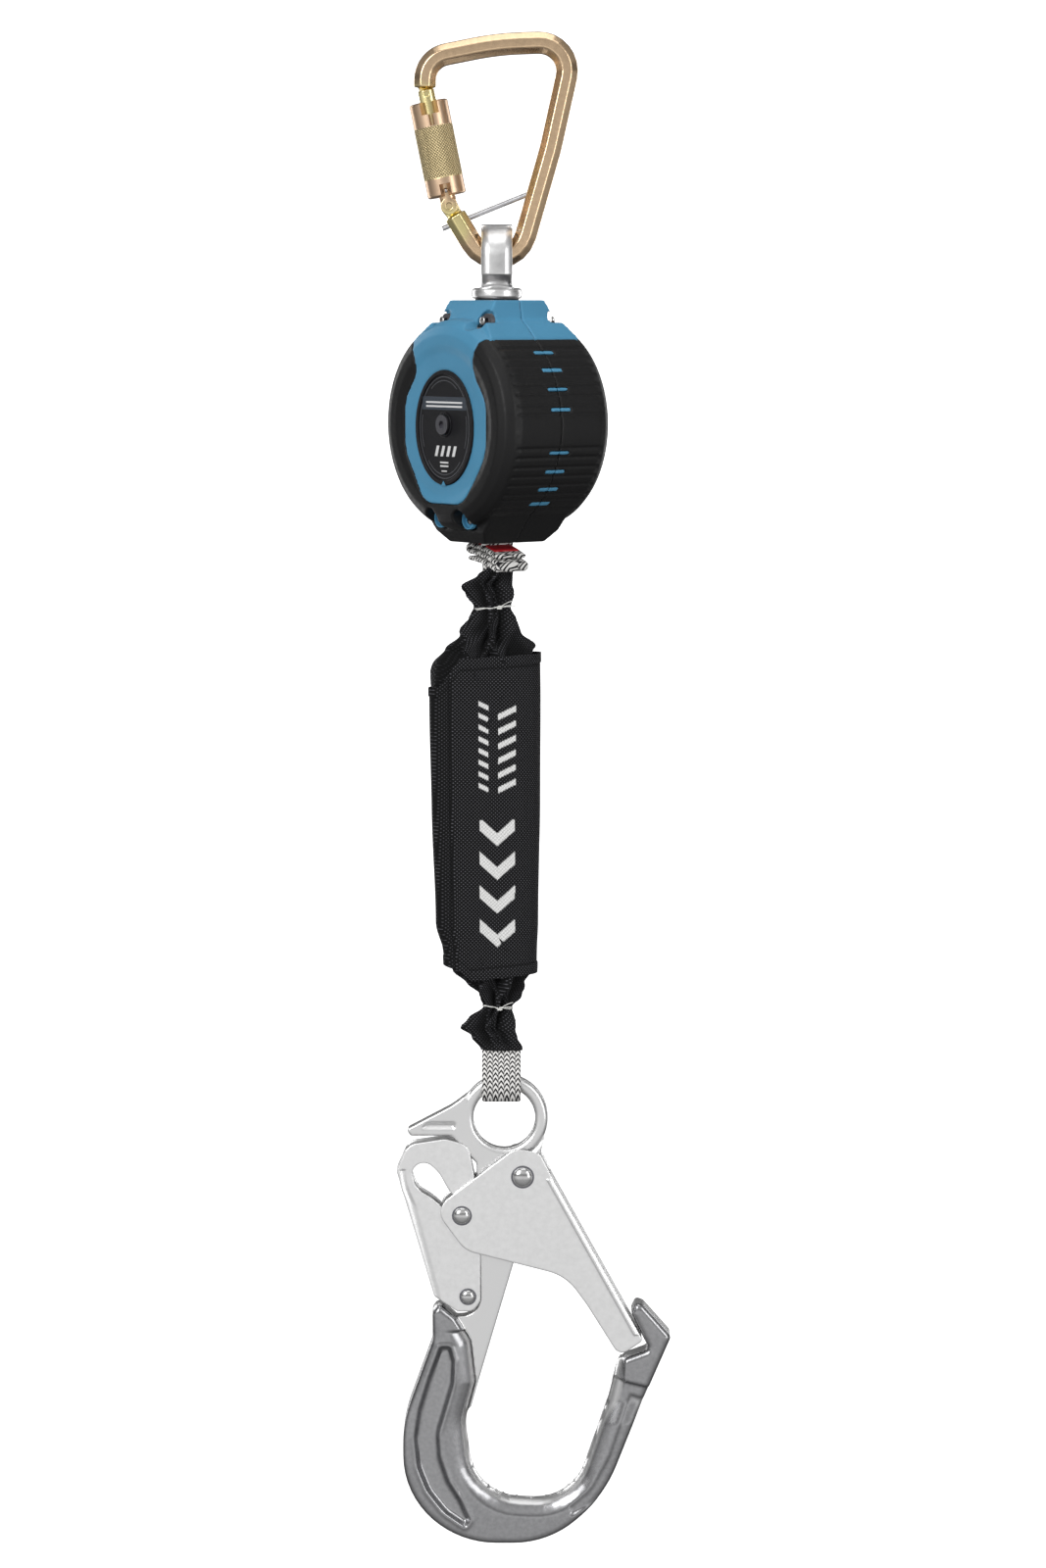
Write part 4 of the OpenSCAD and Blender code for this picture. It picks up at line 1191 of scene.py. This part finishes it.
def rounded_hook(points):
    """Shapes the forging: the bowl's faces, the round edges of the eye ring and a slot in the beak."""
    p = points / MM
    plane = p[:, [0, 2]]
    x, z = plane.T
    y = np.abs(p[:, 1])
    on_bowl = (y > 4.6) & (z < -636)
    y = np.where(on_bowl, bowl_face(plane), y)

    ring_middle = np.array([3.5, -543])
    bore_r = 16
    ring_r = 22.6
    edge_r = 2.6
    r = np.linalg.norm(plane - ring_middle, axis=1)
    from_bore = np.abs(r - bore_r)
    stands_free = (z > -541) & (x > -16) | (x > 15)
    from_edge = np.where(stands_free, np.minimum(from_bore, np.abs(ring_r - r)), from_bore)
    on_ring = (y > 3.2) & (r < 23.5) & (z > -566) & (from_edge < edge_r)
    y = np.where(on_ring, np.minimum(y, 4.0 - edge_fall(from_edge, edge_r) * 0.9), y)

    beak = (y > 3.2) & (x < -9) & (z > -556)
    slot_corners = [(-40, -548.6, 0.5), (-22, -548.6, 0.5), (-22, -545.2, 0.5), (-36, -545.2, 0.5)]
    slot = signed_distance(plane, rounded(slot_corners, 4))
    y = np.where(beak, y - 1.5 * np.clip(-slot / 0.8, 0, 1), y)
    p[:, 1] = np.sign(p[:, 1]) * y
    return p * MM


def beside_line(x, z, start, run):
    """Distance in X and Z from the line that leaves start along run, positive on its left."""
    dx, dz = np.array(run) / np.hypot(*run)
    return (z - start[1]) * dx - (x - start[0]) * dz


def pressed_gate(points):
    """A low rib along the gate's outer edge."""
    p = points / MM
    x, y, z = p.T
    off = np.abs(beside_line(x, z, (28, -573), (47.8, -87.0)))
    on_rib = (z < -574) & (z > -657) & (np.abs(y) > 7)
    p[:, 1] += np.sign(y) * 0.6 * np.clip(1.6 - np.abs(off - 1.9) / 0.8, 0, 1) * on_rib
    return p * MM


def pressed_lever(points):
    """A pressed line along the lever's outer edge, and its slot drawn wider at the top."""
    p = points / MM
    x, y, z = p.T.copy()
    off = beside_line(x, z, (-49.5, -572.7), (17.5, -68.3))
    on_line = (z < -570) & (z > -640) & (np.abs(y) > 5)
    p[:, 1] -= np.sign(y) * 0.8 * np.clip(1 - np.abs(off - 1.2) / 2.2, 0, 1) * on_line
    slot_top = np.array([-37.0, -576.0])
    away = np.stack([x, z], axis=1) - slot_top
    d = np.maximum(np.linalg.norm(away, axis=1), 1e-6)
    push = 3.6 * np.clip(1 - d / 14, 0, 1) * np.clip(d / 3, 0, 1)
    p[:, 0] += away[:, 0] / d * push
    p[:, 2] += away[:, 1] / d * push
    return p * MM


# Node, X, Z, radius of the head, its seat and its height
RIVETS = [("gate_rivet", 13, -573, 5.3, 8.2, 3.0), ("lock_pin", -18.5, -593.5, 4.5, 8.0, 2.6),
          ("lever_rivet", -15.5, -637, 3.7, 6.4, 2.0)]


def make_rivets():
    """Shanks with domed heads on both ends, over thin dark washers."""
    for node, x, z, radius, seat, height in RIVETS:
        parts = [tube("shank", [(x, -seat, z), (x, seat, z)], radius * 0.55, sides=24)]
        for turn in (0, math.pi):
            place = Matrix.Translation(Vector((x, 0, z)) * MM) @ Matrix.Rotation(turn, 4, "Z")
            head = dome(radius, height, -seat)
            head.transform(place)
            parts.append(head)
            rims = [circle(radius + 0.7), circle(radius - 0.6)]
            ring = plate("ring", rims, -seat + 0.3, -seat - 0.3, 0.1, place)
            trim(new_piece(node + "_ring", ring, DARK_STEEL), node)
        stand_for(joined(node + "_domes", parts, POLISHED), node)


# ---------- the pieces ----------

make_sleeve()
make_sleeve_ball()
soften("carabiner_body", GOLD, 0.55, 3)
soften("carabiner_gate", GOLD, 0.4, 3)
soften("swivel_eye", EYE, 0.55, 5, engrave=tapered_eye)
for part in ("front_cover", "rear_cover"):
    soften(part, BLUE, 0.75, 3).visible_glossy = False
for part in ("front_grip", "rear_grip"):
    soften(part, BLACK, 0.65, 3, keep=0.7, engrave=grooved_grip)
make_labels()
make_screw_wells()
make_strap()
make_fold()
make_lower_loop()
make_pack_cover()
make_wrap()
make_tie("upper_tie", -277.5, 0.10)
make_tie("lower_tie", -484.5, -0.12)
soften("hook_body", FORGED, 0.6, 6, reshape=rounded_hook)
soften("hook_gate", SATIN, 0.42, 3, keep=0.4, engrave=pressed_gate)
soften("hook_lever", SATIN, 0.42, 3, keep=0.4, engrave=pressed_lever)
make_rivets()
